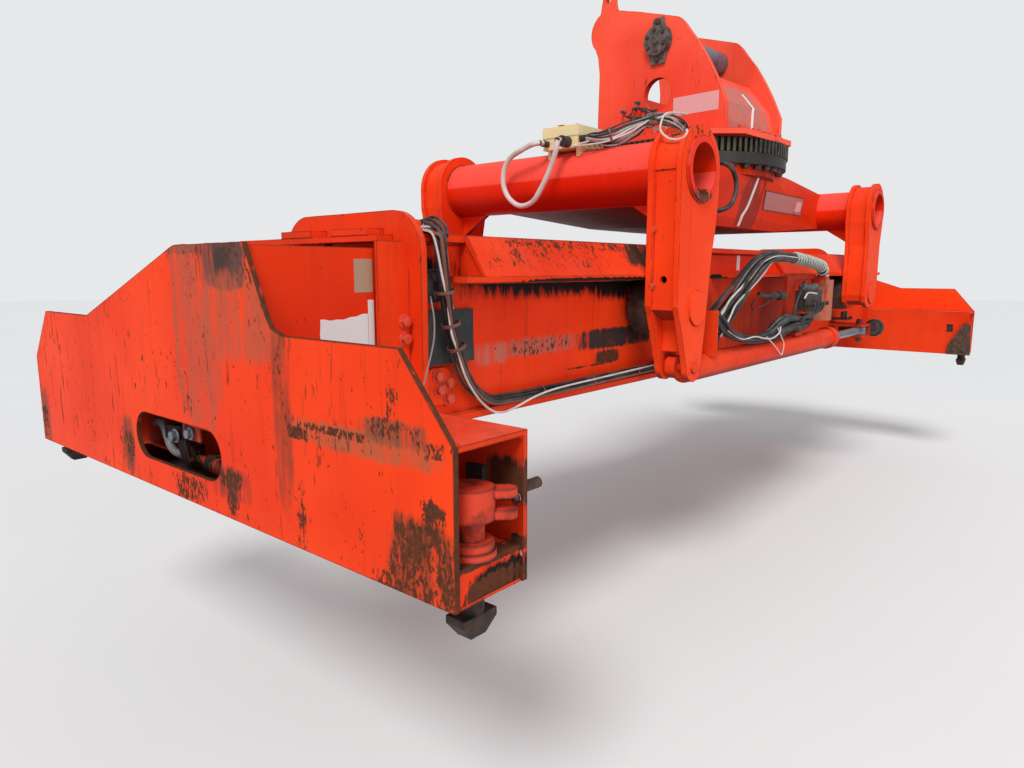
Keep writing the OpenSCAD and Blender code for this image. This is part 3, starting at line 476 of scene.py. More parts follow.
def worn_paint_lit_and_shaded(name, base, fade, bleach_and_light_share, chips, streaks, dirt, edge=0.7, rusty=(), washes=(), ticks=0.4,
               under=0.75, rim="", lit_crown=0.0):
    """Old sprayed paint on steel plate: pale on top as painted light and bleaching, with chips to rust, runs of
    dirt, worn edges, stains and painted shade.

    Every kind of rust is one level, fine noise plus a density that rises in the rusty places, cut off at a
    threshold. Rim names the axis across whose thin edges the paint is gone, and crown pales the upper half.
    """
    s = Shader(name, specular=0.06)
    look = s.parts_of("Normal")
    big = s.noise(1.3, 3.0, 0.5)
    mid = s.noise(6.0, 4.0, 0.6)
    c = s.mix(s.step(big, 0.38, 0.68), base, shaded(base, 0.84, 0.55, 0.5))
    # painted light: faces that look up turn towards the pale colour; the washes below use the same colour for
    # bleached paint
    up = s.times(s.times(look[2], 1.0, clamp=True), bleach_and_light_share)
    c = s.mix(s.times(up, s.step(mid, 0.2, 0.75)), c, fade)
    wash = s.step(s.noise(3.0, 5.0, 0.6, stretch=(3, 3, 0.5)), 0.5, 0.8)
    c = s.mix(s.times(wash, 0.25 * bleach_and_light_share + 0.06), c, fade)
    # painted light: the upper half turns further to the pale colour
    if lit_crown:
        c = s.mix(s.times(s.step(look[2], -0.03, 0.07), lit_crown), c, fade)
    # painted shade: faces that look down turn to the underside colour
    if under:
        c = s.mix(s.times(s.step(look[2], -0.25, -0.8), under), c, UNDERSIDE_SHADE)
    run = s.noise(9.0, 4.0, 0.65, stretch=(3.2, 3.2, 0.16))
    run_mask = s.times(s.step(run, 0.55, 0.74), s.step(big, 0.3, 0.6))
    c = s.mix(s.times(run_mask, streaks), c, DIRT_RUN)
    grime = s.times(s.step(s.noise(4.0, 5.0, 0.7, stretch=(1, 1, 0.6)), 0.5, 0.85), dirt)
    c = s.mix(grime, c, GRIME)
    fine = s.noise(92.0, 5.0, 0.75, stretch=(1, 1, 0.55))
    clump = s.noise(13.0, 4.0, 0.65, stretch=(1, 1, 0.45))
    for where, size, tint, amount, power in washes:
        z = s.times(s.zone(where, size, power), amount)
        patchy = s.step(s.plus(s.times(run, 0.6), s.times(clump, 0.4)), 0.34, 0.56)
        z = s.times(z, s.plus(patchy, max(0.0, amount - 2.0) * 0.5))
        c = s.mix(z, c, s.mix(fine, tint, shaded(tint, 0.6)))
    density = s.times(s.step(s.noise(2.6, 3.0, 0.6), 0.40, 0.70), 0.07 * chips)
    for where, size, amount, power in rusty:
        density = s.most(density, s.times(s.zone(where, size, power), amount * 0.86))
    level = s.plus(s.plus(s.times(fine, 0.6), s.times(clump, 0.4)), density)
    rust = s.step(level, 0.645, 0.685)
    if ticks:
        tick = s.noise(42.0, 2.0, 0.5, stretch=(1.5, 1.5, 0.16), bend=0.35)
        often = s.step(s.noise(3.2, 3.0, 0.6, shift=(2, 7, 1)), 0.66 - 0.3 * ticks, 0.72)
        rust = s.most(rust, s.times(s.step(tick, 0.65, 0.69), often))
        speck = s.step(s.noise(72.0, 2.0, 0.5, stretch=(1, 1, 0.5)), 0.735 - 0.045 * ticks, 0.765 - 0.045 * ticks)
        rust = s.most(rust, s.times(speck, s.step(mid, 0.34, 0.5)))
    if rim:
        flat = s.math("ABSOLUTE", look["XYZ".index(rim)])
        rust = s.most(rust, s.times(s.step(flat, 0.6, 0.3), s.step(clump, 0.33, 0.43)))
    worn = s.step(s.noise(14.0, 4.0, 0.65), 0.66 - 0.42 * edge, 0.74 - 0.34 * edge)
    rust = s.most(rust, s.times(s.edges(0.006, 0.07), worn))
    c = s.mix(rust, c, s.mix(s.noise(60.0, 3.0, 0.6), RUST, RUST_PALE))
    s.color(c)
    s.rough(s.plus(s.times(mid, 0.22), s.plus(s.times(rust, 0.35), 0.34), True))
    height = s.math("SUBTRACT", s.times(s.noise(38.0, 3.0, 0.5), 0.25), s.times(rust, 0.6))
    s.relief(height, 0.35, 0.002, round_edge=0.003)
    return s.material


def lock_finish(name, split, red):
    """Lock: red paint with burnt edges above a height, black rust and mud below it."""
    s = Shader(name, rough=0.7, specular=0.3)
    a = s.noise(45.0, 5.0, 0.65)
    b = s.noise(14.0, 4.0, 0.6)
    height = s.parts_of("Object")[2]
    up = s.step(s.plus(height, s.times(b, 0.02)), split, split + 0.012)
    dark = s.mix(s.step(a, 0.3, 0.7), (0.012, 0.009, 0.008), (0.06, 0.032, 0.022))
    paint = s.mix(s.step(b, 0.45, 0.7), red, shaded(red, 0.35))
    burnt = s.step(s.plus(s.times(a, 0.5), s.times(b, 0.5)), 0.6, 0.64)
    paint = s.mix(s.most(s.edges(0.009, 0.08), burnt), paint, dark)
    s.color(s.mix(up, dark, paint))
    s.rough(s.plus(s.times(a, 0.35), 0.5, True))
    s.relief(s.plus(a, s.times(s.noise(200.0, 3.0, 0.6), 0.3)), 0.7, 0.005, round_edge=0.002)
    return s.material


def rough_steel(name, dark, light, rough, metal, scale, rust):
    """Dark oily or rusted steel in two tones with a pitted face."""
    s = Shader(name, rough=rough, metal=metal)
    a = s.noise(scale, 5.0, 0.65)
    b = s.noise(scale * 0.22, 4.0, 0.6, shift=(3, 1, 2))
    c = s.mix(s.step(a, 0.3, 0.7), dark, light)
    c = s.mix(s.times(s.step(b, 0.5, 0.68), rust), c, s.mix(a, RUST, RUST_PALE))
    s.color(c)
    s.rough(s.plus(s.times(a, 0.35), rough - 0.15, True))
    s.relief(s.plus(a, s.times(s.noise(scale * 6, 3.0, 0.6), 0.3)), 0.5, 0.003, round_edge=0.002)
    return s.material


def rubber(name, color, rough, dust, dust_color=(0.20, 0.17, 0.14)):
    """Hose, cable or flap rubber with a thin film of dust."""
    s = Shader(name, rough=rough, specular=0.4)
    a = s.noise(40.0, 4.0, 0.6)
    b = s.step(s.noise(9.0, 4.0, 0.65), 0.42, 0.75)
    c = s.mix(s.times(b, dust), color, dust_color)
    c = s.mix(s.times(s.step(a, 0.6, 0.8), 0.35), c, shaded(color, 0.5))
    s.color(c)
    s.rough(s.plus(s.times(a, 0.25), rough - 0.1, True))
    s.relief(a, 0.25, 0.001)
    return s.material


def film(name, color, ground, tears, scale=25.0):
    """Old tape or label film, worn through to what lies under it in places."""
    s = Shader(name, rough=0.45)
    a = s.noise(scale, 5.0, 0.7)
    c = s.mix(s.times(s.noise(6.0, 4.0, 0.6), 0.3), color, shaded(color, 0.72))
    c = s.mix(s.step(a, 0.72 - 0.25 * tears, 0.78 - 0.25 * tears), c, ground)
    s.color(c)
    s.relief(a, 0.2, 0.0006)
    return s.material


def gear_grease(name, low, high):
    """Toothed ring under old grease: greenish and rusty on its teeth, black below them."""
    s = Shader(name, rough=0.45, metal=0.35)
    old = (0.014, 0.013, 0.012)
    a = s.noise(26.0, 5.0, 0.65)
    b = s.noise(7.0, 4.0, 0.6, shift=(1, 4, 2))
    c = s.mix(s.step(a, 0.3, 0.7), old, (0.055, 0.055, 0.04))
    c = s.mix(s.times(s.step(b, 0.45, 0.65), 0.5), c, (0.10, 0.085, 0.035))
    rusty = s.step(s.noise(11.0, 4.0, 0.6, shift=(5, 2, 1)), 0.56, 0.7)
    c = s.mix(s.times(rusty, 0.4), c, (0.16, 0.045, 0.03))
    c = s.mix(s.times(s.step(s.parts_of("Object")[2], high, low), 0.8), c, old)
    s.color(c)
    s.rough(s.plus(s.times(a, 0.4), 0.25, True))
    s.relief(a, 0.55, 0.004, round_edge=0.002)
    return s.material


def floor_paint():
    """Matt paint of the floor, nearly white."""
    s = Shader("pale_floor", rough=0.9)
    s.color(s.mix(s.noise(0.6, 3.0, 0.5), (0.76, 0.76, 0.75), (0.72, 0.72, 0.71)))
    return s.material


# ---------------------------------------------------------------- tables of finishes
BLACK = (0.014, 0.010, 0.010)
SMOKE = (0.15, 0.065, 0.052)
SOOT = (0.05, 0.036, 0.03)
UMBER = (0.30, 0.052, 0.024)
TAN = (0.40, 0.13, 0.06)
PALE_ROSE = (0.60, 0.20, 0.165)


def spot(x, y, z, sx, sy, sz, amount, power=0.8):
    """A rusty place in millimetres, with its half sizes."""
    return tuple(at(x, y, z)), (sx * MM, sy * MM, sz * MM), amount, power


def tinted_place(x, y, z, sx, sy, sz, tint, amount, power, place=at):
    """A tinted place given the same way."""
    return tuple(place(x, y, z)), (sx * MM, sy * MM, sz * MM), tint, amount, power


def on_plate(rows):
    """Places on the near end plate, given across and up with their half sizes, as places in space."""
    return [(-3026, y, z, 60, *rest) for y, z, *rest in rows]


# what spot takes, by the paint that it is on
RUSTY = {
    "plate": on_plate([
        (-1078, 82, 112, 104, 0.2, 0.5), (-1122, 196, 56, 36, 0.2, 0.9), (-1155, 20, 50, 130, 0.2),
        (-1000, 352, 120, 30, 0.19), (-800, 318, 200, 15, 0.19), (-655, 294, 80, 22, 0.2),
        (-1112, 326, 60, 26, 0.2), (-735, 275, 14, 80, 0.2), (-998, 400, 18, 60, 0.18),
        (-860, 310, 330, 50, 0.08, 0.5), (-650, 118, 34, 90, 0.16), (355, 105, 75, 85, 0.18),
        (-85, 42, 140, 55, 0.2), (-330, 62, 60, 70, 0.19), (-323, 112, 75, 40, 0.22),
        (-100, 290, 40, 60, 0.15), (1145, 70, 60, 100, 0.19), (1160, 300, 50, 160, 0.10),
        (0, 0, 1400, 60, 0.09, 0.9), (-590, 380, 34, 170, 0.12), (-960, 10, 60, 34, 0.2),
        (-445, 668, 60, 45, 0.17), (900, 420, 350, 200, 0.07), (1000, 620, 300, 60, 0.08),
        (-300, 730, 260, 26, 0.14), (-760, 60, 300, 60, 0.08)]),
    "end_box": [
        (-2815, -1145, 225, 60, 70, 50, 0.3), (-2900, -1172, 10, 120, 60, 50, 0.3),
        (-2900, -1172, 84, 140, 60, 18, 0.3)],
    "web": [
        (-1310, -470, 392, 320, 40, 44, 0.12, 0.9), (-1830, -470, 400, 250, 40, 50, 0.17, 0.9),
        (-1385, -470, 312, 105, 40, 30, 0.28), (-1500, -470, 290, 240, 40, 6, 0.25, 0.9)],
    "rail": [
        (-1900, -545, 728, 480, 90, 60, 0.15, 0.9), (-1300, -535, 745, 110, 60, 60, 0.17),
        (-1700, -520, 772, 700, 60, 26, 0.165)],
    "arm": [(-1150, -690, 1225, 160, 90, 70, 0.18), (-1150, -752, 265, 90, 40, 90, 0.12)],
    "tube": [(-1150, -690, 985, 150, 90, 46, 0.26, 0.6)],
    "oily_shaded": [(-2930, 60, 130, 120, 420, 120, 0.12)],
}

# rows of the tinted places, by the paint that they are on: stains, and some rows of painted shade; the rows of the
# head are measured along and across it
STAINS_AND_SHADE = {
    "plate": on_plate([
        (-345, 705, 112, 80, SMOKE, 2.3, 0.3), (-150, 748, 170, 26, SMOKE, 1.6, 0.4),
        (-300, 690, 110, 60, SOOT, 0.8, 0.6), (-170, 520, 140, 300, (0.50, 0.10, 0.055), 0.8, 0.25),
        (-400, 560, 240, 130, (0.56, 0.10, 0.05), 0.8, 0.5), (-870, 306, 300, 36, TAN, 0.75, 0.6),
        (-1000, 345, 120, 34, (0.22, 0.08, 0.045), 0.9, 0.7),
        (-1078, 82, 112, 104, (0.26, 0.05, 0.02), 1.0, 0.4), (-590, 330, 46, 260, UMBER, 0.8, 0.6),
        (-320, 100, 120, 55, SOOT, 0.8, 0.7), (345, 110, 55, 110, UMBER, 1.1, 0.6),
        # the last row, at -2990, darkens the inner face of the plate inside the end box: painted shade, with some
        # grease
        (1150, 80, 70, 150, UMBER, 0.9, 0.6)]) + [(-2990, 0, 120, 14, 720, 190, BLACK, 2.6, 0.9)],
    "end_box": [
        (-2815, -1145, 225, 60, 80, 60, SOOT, 1.6, 0.6), (-2880, -1172, 20, 110, 60, 50, BLACK, 1.8, 0.7),
        # the BLACK row at (-2915, 220) and the one at (-2990, -900) darken the inside of the end box: painted shade,
        # with some grease
        (-2915, -1172, 90, 130, 40, 20, SOOT, 1.8, 0.5), (-2915, 220, 110, 90, 760, 230, BLACK, 3.0, 0.5),
        (-2990, -900, 200, 40, 240, 140, BLACK, 1.4, 0.7)],
    "web": [
        (-1310, -470, 396, 335, 40, 48, SOOT, 2.1, 0.7),
        (-1850, -470, 400, 270, 40, 40, (0.42, 0.15, 0.11), 0.8, 0.8),
        (-2130, -470, 392, 110, 40, 46, (0.50, 0.20, 0.16), 0.7, 0.9),
        # the BLACK rows at heights 660 to 672 are painted shade under the ledge of the rail, with grease in it
        (-1395, -470, 318, 105, 40, 34, SOOT, 1.5, 0.9), (-1460, -470, 672, 960, 60, 108, BLACK, 1.9, 0.9),
        (-1460, -470, 668, 900, 60, 62, BLACK, 2.4, 0.6), (-1080, -470, 660, 620, 60, 118, BLACK, 1.8, 0.9),
        (-150, -470, 400, 900, 40, 170, UMBER, 0.7, 0.8), (-2420, -470, 660, 60, 40, 70, BLACK, 1.6, 0.6)],
    "rail": [
        # the BLACK rows on the front of the rail are painted shade under its lip, with grease in it
        (-1290, -535, 745, 130, 60, 70, SOOT, 1.4, 0.8), (-1310, -597, 626, 860, 22, 27, BLACK, 5.0, 0.25),
        (-626, -597, 630, 70, 22, 30, BLACK, 5.0, 0.25)],
    "head": [
        (0, -400, 1560, 300, 60, 170, PALE_ROSE, 1.4, 0.5), (0, -330, 1650, 300, 90, 100, PALE_ROSE, 1.2, 0.6)],
    "tube": [(-1150, -690, 975, 110, 90, 34, (0.11, 0.06, 0.04), 2.4, 0.5)],
    "yoke": [(190, -425, 1085, 150, 130, 240, (0.42, 0.034, 0.018), 2.0, 0.12)],
    "oily_shaded": [
        # this black row darkens the linkage inside the slot: painted shade, with some grease
        (-2930, 60, 130, 120, 420, 140, BLACK, 1.4, 0.8),
        (765, -680, 490, 90, 60, 150, (0.48, 0.15, 0.09), 2.0, 0.3)],
}

# name, dark and light tone, roughness, metal, grain and rust
STEELS = {
    "keeper": ("keeper_steel", (0.055, 0.045, 0.04), (0.18, 0.155, 0.14), 0.6, 0.4, 34, 0.3),
    "steel": ("dark_steel", (0.02, 0.018, 0.017), (0.085, 0.07, 0.06), 0.55, 0.4, 30, 0.3),
    "rust": ("rusty_steel", (0.035, 0.02, 0.014), (0.13, 0.06, 0.035), 0.75, 0.25, 34, 0.6),
    "rod": ("rod_steel", (0.12, 0.14, 0.17), (0.22, 0.25, 0.30), 0.35, 0.55, 18, 0.12),
    "wheel": ("roller_steel", (0.03, 0.022, 0.018), (0.09, 0.065, 0.05), 0.6, 0.4, 26, 0.35),
    "bolt": ("painted_bolt", (0.50, 0.035, 0.012), (0.68, 0.06, 0.02), 0.5, 0.0, 60, 0.4),
    "bolt_dark": ("oily_bolt", (0.03, 0.025, 0.022), (0.12, 0.10, 0.08), 0.5, 0.5, 60, 0.3),
}

# name, colour, roughness, dust and its colour
RUBBERS = {
    "coil": ("coil_guard", (0.42, 0.43, 0.37), 0.5, 0.4, (0.12, 0.10, 0.08)),
    "hose": ("hose_rubber", (0.012, 0.012, 0.013), 0.45, 0.35),
    "sleeve": ("grey_sleeve", (0.06, 0.06, 0.065), 0.5, 0.4, (0.3, 0.28, 0.26)),
    "flap": ("flap_rubber", (0.018, 0.018, 0.019), 0.6, 0.25),
    "cable_grey": ("grey_cable", (0.20, 0.19, 0.19), 0.45, 0.4, (0.30, 0.24, 0.2)),
    "cable_white": ("white_cable", (0.58, 0.52, 0.49), 0.4, 0.55, (0.30, 0.20, 0.16)),
    "cable_brown": ("rusty_cable", (0.14, 0.055, 0.04), 0.5, 0.5, (0.30, 0.10, 0.06)),
    "glass": ("lamp_glass", (0.10, 0.11, 0.12), 0.15, 0.2),
}

# name, colour, what shows where it is torn, how much that is, and the grain
FILMS = {
    "tape": ("white_tape", (0.78, 0.74, 0.72), (0.55, 0.12, 0.08), 0.25),
    "patch": ("torn_sheet", (0.64, 0.61, 0.59), (0.52, 0.48, 0.46), 0.2),
    "label": ("faded_label", (0.74, 0.36, 0.35), (0.68, 0.12, 0.08), 0.35, 18.0),
    "sign": ("faded_sign", (0.46, 0.16, 0.15), (0.30, 0.05, 0.04), 0.4, 14.0),
    "beige": ("beige_patch", (0.36, 0.22, 0.14), (0.50, 0.06, 0.03), 0.35, 20.0),
    "cream": ("box_plastic", (0.78, 0.65, 0.34), (0.42, 0.36, 0.22), 0.15, 9.0),
}

# finish of the carried-over nodes, by how their names begin
NODE_FINISH = {
    "slew_gear_ring": "grease", "slew_inner_ring": "steel", "slew_drive": "head", "boom_pin": "rod",
    "pin_keepers": "keeper", "head_cheeks": "head", "head_base": "head", "head_fittings": "steel",
    "yoke_box": "yoke", "yoke_tubes": "tube", "arm_": "arm", "wheel_": "wheel", "shift_rod": "rod",
    "valve_carrier": "oily_shaded", "valve_block": "steel", "junction_box": "cream", "box_glands": "steel",
    "work_lamps": "steel", "frame_web": "web", "rail_": "rail", "rod_bracket": "oily_shaded", "beam_": "beam",
    "end_plate": "plate", "end_box": "end_box", "end_guides": "rust", "linkage": "oily_shaded", "lock_": "lock",
    "tube_h": "hose", "tube_l": "hose", "valve_h": "hose", "valve_r": "hose", "ring_h": "hose",
    "frame_h": "hose",
}

MAT = {}


class SPR_PG_finish(bpy.types.PropertyGroup):
    """Colours and amounts that a user would change"""
    paint: bpy.props.FloatVectorProperty(
        name="Paint", description="Colour of the sprayed paint", subtype="COLOR",
        default=(0.76, 0.046, 0.007), min=0, max=1)
    # this pale colour stands for bleached paint and is also painted as light on faces that look up
    faded: bpy.props.FloatVectorProperty(
        name="Faded paint", description="Colour of paint bleached from above", subtype="COLOR",
        default=(0.80, 0.105, 0.060), min=0, max=1)
    chips: bpy.props.FloatProperty(
        name="Chips", description="Share of the paint chipped off", default=0.6, min=0, max=1, subtype="FACTOR")


class SPR_PG_sizes(bpy.types.PropertyGroup):
    """Sizes of small parts that a user would change"""
    weld: bpy.props.FloatProperty(
        name="Weld", description="Radius of a weld bead", default=0.0055, unit="LENGTH", min=0.001)
    flange_bolt: bpy.props.FloatProperty(
        name="Flange bolt", description="Width across flats of the ring bolts", default=0.036, unit="LENGTH",
        min=0.01)
    tape: bpy.props.FloatProperty(
        name="Tape", description="Width of the white marking tape", default=0.024, unit="LENGTH", min=0.005)


class SPR_OT_materials(bpy.types.Operator):
    """Makes every finish and puts it on the carried-over nodes"""
    bl_idname = "spreader.materials"
    bl_label = "Finishes"

    def execute(self, context):
        f = context.scene.spreader_finish
        red, pale, chips = tuple(f.paint), tuple(f.faded), f.chips
        # name, colour, pale colour and its share (bleached paint, and painted light on faces that look up), chips,
        # streaks, dirt and worn edges
        paints = {
            "paint": ("worn_red_paint", red, pale, 0.5, chips, 0.35, 0.25),
            "plate": ("end_plate_paint", (0.88, 0.056, 0.008), pale, 0.12, 1.0, 0.3, 0.12, 1.05),
            "end_box": ("end_box_paint", (0.74, 0.044, 0.008), pale, 0.8, 1.0, 0.4, 0.4, 1.0),
            "beam": ("beam_paint", (0.70, 0.034, 0.005), pale, 0.25, chips * 0.8, 0.55, 0.3),
            "web": ("web_paint", (0.86, 0.05, 0.008), pale, 0.25, chips * 0.7, 0.35, 0.25),
            "rail": ("rail_paint", (0.77, 0.05, 0.009), pale, 0.4, 1.0, 0.3, 0.25),
            "arm": ("arm_paint", (0.88, 0.058, 0.010), pale, 0.3, chips * 0.7, 0.2, 0.12, 0.6),
            "head": ("head_paint", (0.95, 0.105, 0.055), (0.74, 0.16, 0.12), 0.5, chips * 0.5, 0.2, 0.12, 0.6),
            "tube": ("tube_paint", (0.78, 0.026, 0.003), (0.88, 0.085, 0.060), 0.6, chips * 0.6, 0.2, 0.1),
            "yoke": ("yoke_paint", (0.74, 0.036, 0.005), pale, 0.2, chips * 0.7, 0.25, 0.2),
            # the oily paint is darker partly as painted shade on the parts seen inside the slots
            "oily_shaded": ("oily_paint", (0.50, 0.042, 0.016), pale, 0.6, 0.9, 0.6, 0.7),
            "weld": ("weld_paint", (0.60, 0.04, 0.012), pale, 0.4, chips, 0.2, 0.4, 0.4)}
        # the under setting paints shade on faces that look down, and the crown setting paints light on the top of
        # the tube
        more = {"plate": {"ticks": 1.0, "rim": "X"}, "rail": {"ticks": 0.8}, "yoke": {"under": 0.85},
                "tube": {"lit_crown": 0.85, "under": 0.45}}
        for key, row in paints.items():
            place = at_head if key == "head" else at
            MAT[key] = worn_paint_lit_and_shaded(*row, rusty=[spot(*w) for w in RUSTY.get(key, ())],
                                  washes=[tinted_place(*w, place=place) for w in STAINS_AND_SHADE.get(key, ())],
                                  **more.get(key, {}))
        for make, table in ((rough_steel, STEELS), (rubber, RUBBERS), (film, FILMS)):
            for key, row in table.items():
                MAT[key] = make(*row)
        MAT["lock"] = lock_finish("lock_finish", (84 - PIN_Z) * MM, (0.60, 0.045, 0.016))
        MAT["grease"] = gear_grease("greased_gear", (1298 - PIN_Z) * MM, (1312 - PIN_Z) * MM)
        for n, piece in NODES.items():
            finish = next((v for k, v in NODE_FINISH.items() if n.startswith(k)), "paint")
            piece.data.materials.clear()
            piece.data.materials.append(MAT[finish])
        return {"FINISHED"}


class SPR_OT_fasteners(bpy.types.Operator):
    """Bolts of the ring, flange, portals, guides and keepers"""
    bl_idname = "spreader.fasteners"
    bl_label = "Fasteners"

    def execute(self, context):
        big, mid, small = hex_bolt(context.scene.spreader_sizes.flange_bolt / MM), hex_bolt(30), hex_bolt(24)
        x, y = circle(530, 40)
        build("ring_bolts", "yoke", "bolt_dark", [placed(big, at(PIN_X + x, y, RING_LOW), DOWN)])
        x, y = circle(505, 36)
        under_cheek = (abs(abs(x) - 330) < 60) & (abs(y) < 450)
        under_box = (abs(x) < CHEEK_X) & (y < 0) & (y > -420)
        free = ~under_cheek & ~under_box & (y > -400)
        rim = at_head(x[free], y[free], FLANGE_TOP)
        front = at_head([-331, -185, -46, 90], [-518, -520, -520, -520], FLANGE_TOP)
        build("flange_bolts", "tilt_head", "bolt", [placed(big, rim, UP), placed(big, front, UP)])
        for flip, end in ENDS:
            post = at_end(flip, -2523, -WEB_FACE, [526, 472])
            side = at_end(flip, [-2400, -2352, -2394, -2352], -482, [345, 320, 300, 268])
            build("portal_bolts_" + end, "main_frame", "bolt", [placed(mid, q, (0, -flip, 0)) for q in (post, side)])
            guide = at_end(flip, -2780, [1160, 1090], 40)
            build("guide_bolts_" + end, end + "_end", "bolt_dark", [placed(small, guide, (flip, 0, 0))])
        keep = []
        for s in SIDES:
            n = head_way(s, 0, 0)
            y, z = circle(58, 6, 0.4)
            keep += [placed(small, at_head(s * 364, 0, [PIN_Z + 100, PIN_Z - 100]), n),
                     placed(hex_bolt(16), at_head(s * 388, y, PIN_Z + z), n)]
        build("keeper_bolts", "tilt_head", "rust", keep)
        return {"FINISHED"}


# runs along, across and up of the beads on one half, and their share of the bead's radius
FRAME_WELDS = (
    ([-2475, -2290], -472, 762, 1), ([-500, -420], -472, 762, 1), ([-2380, -500], -474, 638, 1),
    ([-420, 2380], -474, 638, 1), (-2473, -472, [214, 762], 1))
END_WELDS = (
    (PLATE_FACE, [-1178, -450], 344, 1), (BACK_FACE, [-1178, -450], 328, 1), (PLATE_FACE, [-57, 1178], 344, 1),
    (BACK_FACE, [-57, 1178], 328, 1), ([-3008, -2818], -1173, 2, 0.6), ([-3008, -2818], 1173, 2, 0.6),
    (PLATE_FACE, -449, [345, 740], 1), (PLATE_FACE, [-445, -62], 746, 1))


class SPR_OT_welds(bpy.types.Operator):
    """Weld beads where plates meet"""
    bl_idname = "spreader.welds"
    bl_label = "Welds"

    def execute(self, context):
        r = context.scene.spreader_sizes.weld / MM
        yoke_runs, frame_runs, head_runs = [], [], []
        turn = np.linspace(0, TAU, 49)
        for sy in SIDES:
            for sx in SIDES:
                axis = PIN_X + sx * TUBE_X
                for y in (598, 754):
                    ring = at(axis + TUBE_R * np.cos(turn), sy * y, TUBE_Z + TUBE_R * np.sin(turn))
                    yoke_runs.append(bead(ring, r))
                half = 153.5 if sx * sy > 0 else 129.5
                for y in (626.5, 725.5):
                    yoke_runs.append(bead(at(axis + sx * half, sy * y, [545, 1040]), r * 0.8))
        for flip, end in ENDS:
            frame_runs += [bead(at_end(flip, x, y, z), r * k) for x, y, z, k in FRAME_WELDS]
            frame_runs += [bead(at([-WEB_END, WEB_END], -472 * flip, z), r) for z in (214, 763)]
            end_runs = [bead(at_end(flip, x, y, z), r * k) for x, y, z, k in END_WELDS]
            build(f"welds_{end}_end", end + "_end", "weld", end_runs)
        for s in SIDES:
            head_runs += [bead(at_head(s * 352, [-420, 424], 1418), r), bead(at_head(s * 308, [-372, 353], 1418), r)]
        head_runs.append(bead(at_head([-308, 308], -393, 1418), r))
        for body, runs in (("yoke", yoke_runs), ("main_frame", frame_runs), ("tilt_head", head_runs)):
            build("welds_" + body, body, "weld", runs)
        return {"FINISHED"}


class SPR_OT_marks(bpy.types.Operator):
    """White tape lines, blank sign, labels and the torn sheet"""
    bl_idname = "spreader.marks"
    bl_label = "Tape and labels"

    def execute(self, context):
        w = context.scene.spreader_sizes.tape / MM
        across, n = head_way(1, 0, 0), head_way(0, -0.94, 0.34)
        slope = at_head([90, 80, 62, 26], [-292, -369, -375, -393], [1690, 1600, 1566, 1484])
        wall = at_head([26, 26], -393, [1484, 1420])
        build("head_tape", "tilt_head", "tape", [strip(q, across, n, w * 0.9, 2.5) for q in (slope, wall)])
        side = at([207, 192, 163, 127, 125], [-455, -437, -402, -390, -366], [1246, 1178, 1044, 995, 932])
        n = unit(np.array([0, -0.966, -0.26]))
        line = smooth_path(side + n * MM, 3)
        build("yoke_tape", "yoke", "tape", [strip(line, (1, 0, 0.12), n, w * 1.35, 2.5)])
        line = at(-88, -WEB_FACE, np.linspace(678, 762, 3))
        build("web_tape", "main_frame", "tape", [strip(line, (1, 0, 0), (0, -1, 0), w * 1.6, 2)])

        look, middle = (0, -0.967, -0.254), at(696, SIGN_Y, 1091.5)
        quad = np.array([(-336, 53), (304, 51), (334, -53), (-301, -52)], float)
        build("sign_frame", "yoke", "steel", [placed(slab(quad * (1.03, 1.1), 3, 0.8), middle, look)], crease=30)
        build("side_sign", "yoke", "sign", [placed(slab(quad, 4.5, 0.8), middle, look)], crease=30)
        build("sign_panel", "yoke", "label", [tile(92, 62, 2, 5.3, 0.8, at(950, SIGN_Y, 1088), look)])
        label = tile(280, 98, 3, 1.2, 0.4, at_head(-CHEEK_X, -246, 1580), head_way(-1, 0, 0))
        build("cheek_label", "tilt_head", "label", [label])

        u = np.linspace(0, 1, 25)
        torn = 543 + 3 * np.sin(5.5 * u + 2.6) + 9 * u * u + 1.2 * np.sin(u * 23)
        left = -2806 + 3 * np.sin(np.linspace(0, 6, 6))
        outline = np.concatenate([np.stack([-2806 + 164 * u, torn], -1), [(-2642, 430)],
                                  np.stack([left, np.linspace(430, 520, 6)], -1)])
        mid = outline.mean(0)
        near_side, out = -447, (0, -1, 0)
        sheet = placed(slab(outline - mid, 1.2, 0.3), at(mid[0], near_side, mid[1]), out)
        tail = tile(21, 152, 1, 1.2, 0.3, at(-2630, near_side, 518), out)
        build("torn_sheet", "near_end", "patch", [sheet, tail], smooth=False)
        patch = tile(66, 96, 2, 1.0, 0.3, at(-2654, near_side, 664), out)
        build("beige_patch", "near_end", "beige", [patch], smooth=False)
        return {"FINISHED"}


# routes of the bundles, the same as in the source; those on the yoke are measured from the slewing axis
TUBE_HARNESS = [
    (-1435, -238, 1256), (-1435, -270, 1256), (-1426, -320, 1254), (-1400, -365, 1266), (-1340, -400, 1300),
    (-1240, -412, 1334), (-1140, -420, 1352), (-1020, -422, 1358), (-910, -420, 1346), (-830, -408, 1316),
    (-800, -390, 1290), (-790, -380, 1276), (-790, -380, 1260)]
TUBE_LOOP = [
    (-1486, -44, 1246), (-1510, -44, 1246), (-1530, -10, 1240), (-1535, 50, 1220), (-1532, 114, 1194),
    (-1530, 154, 1146), (-1530, 160, 1078), (-1530, 127, 1014), (-1530, 60, 974), (-1530, -16, 988),
    (-1530, -68, 1048), (-1530, -110, 1114), (-1536, -146, 1184), (-1536, -157, 1224), (-1526, -157, 1244),
    (-1506, -157, 1244)]
SIDE_HOSE = [
    (-580, -470, 1220), (-580, -486, 1220), (-572, -512, 1210), (-545, -528, 1190), (-510, -532, 1155),
    (-494, -534, 1110), (-502, -532, 1058), (-530, -524, 1014), (-558, -502, 990), (-570, -465, 982),
    (-570, -440, 982)]
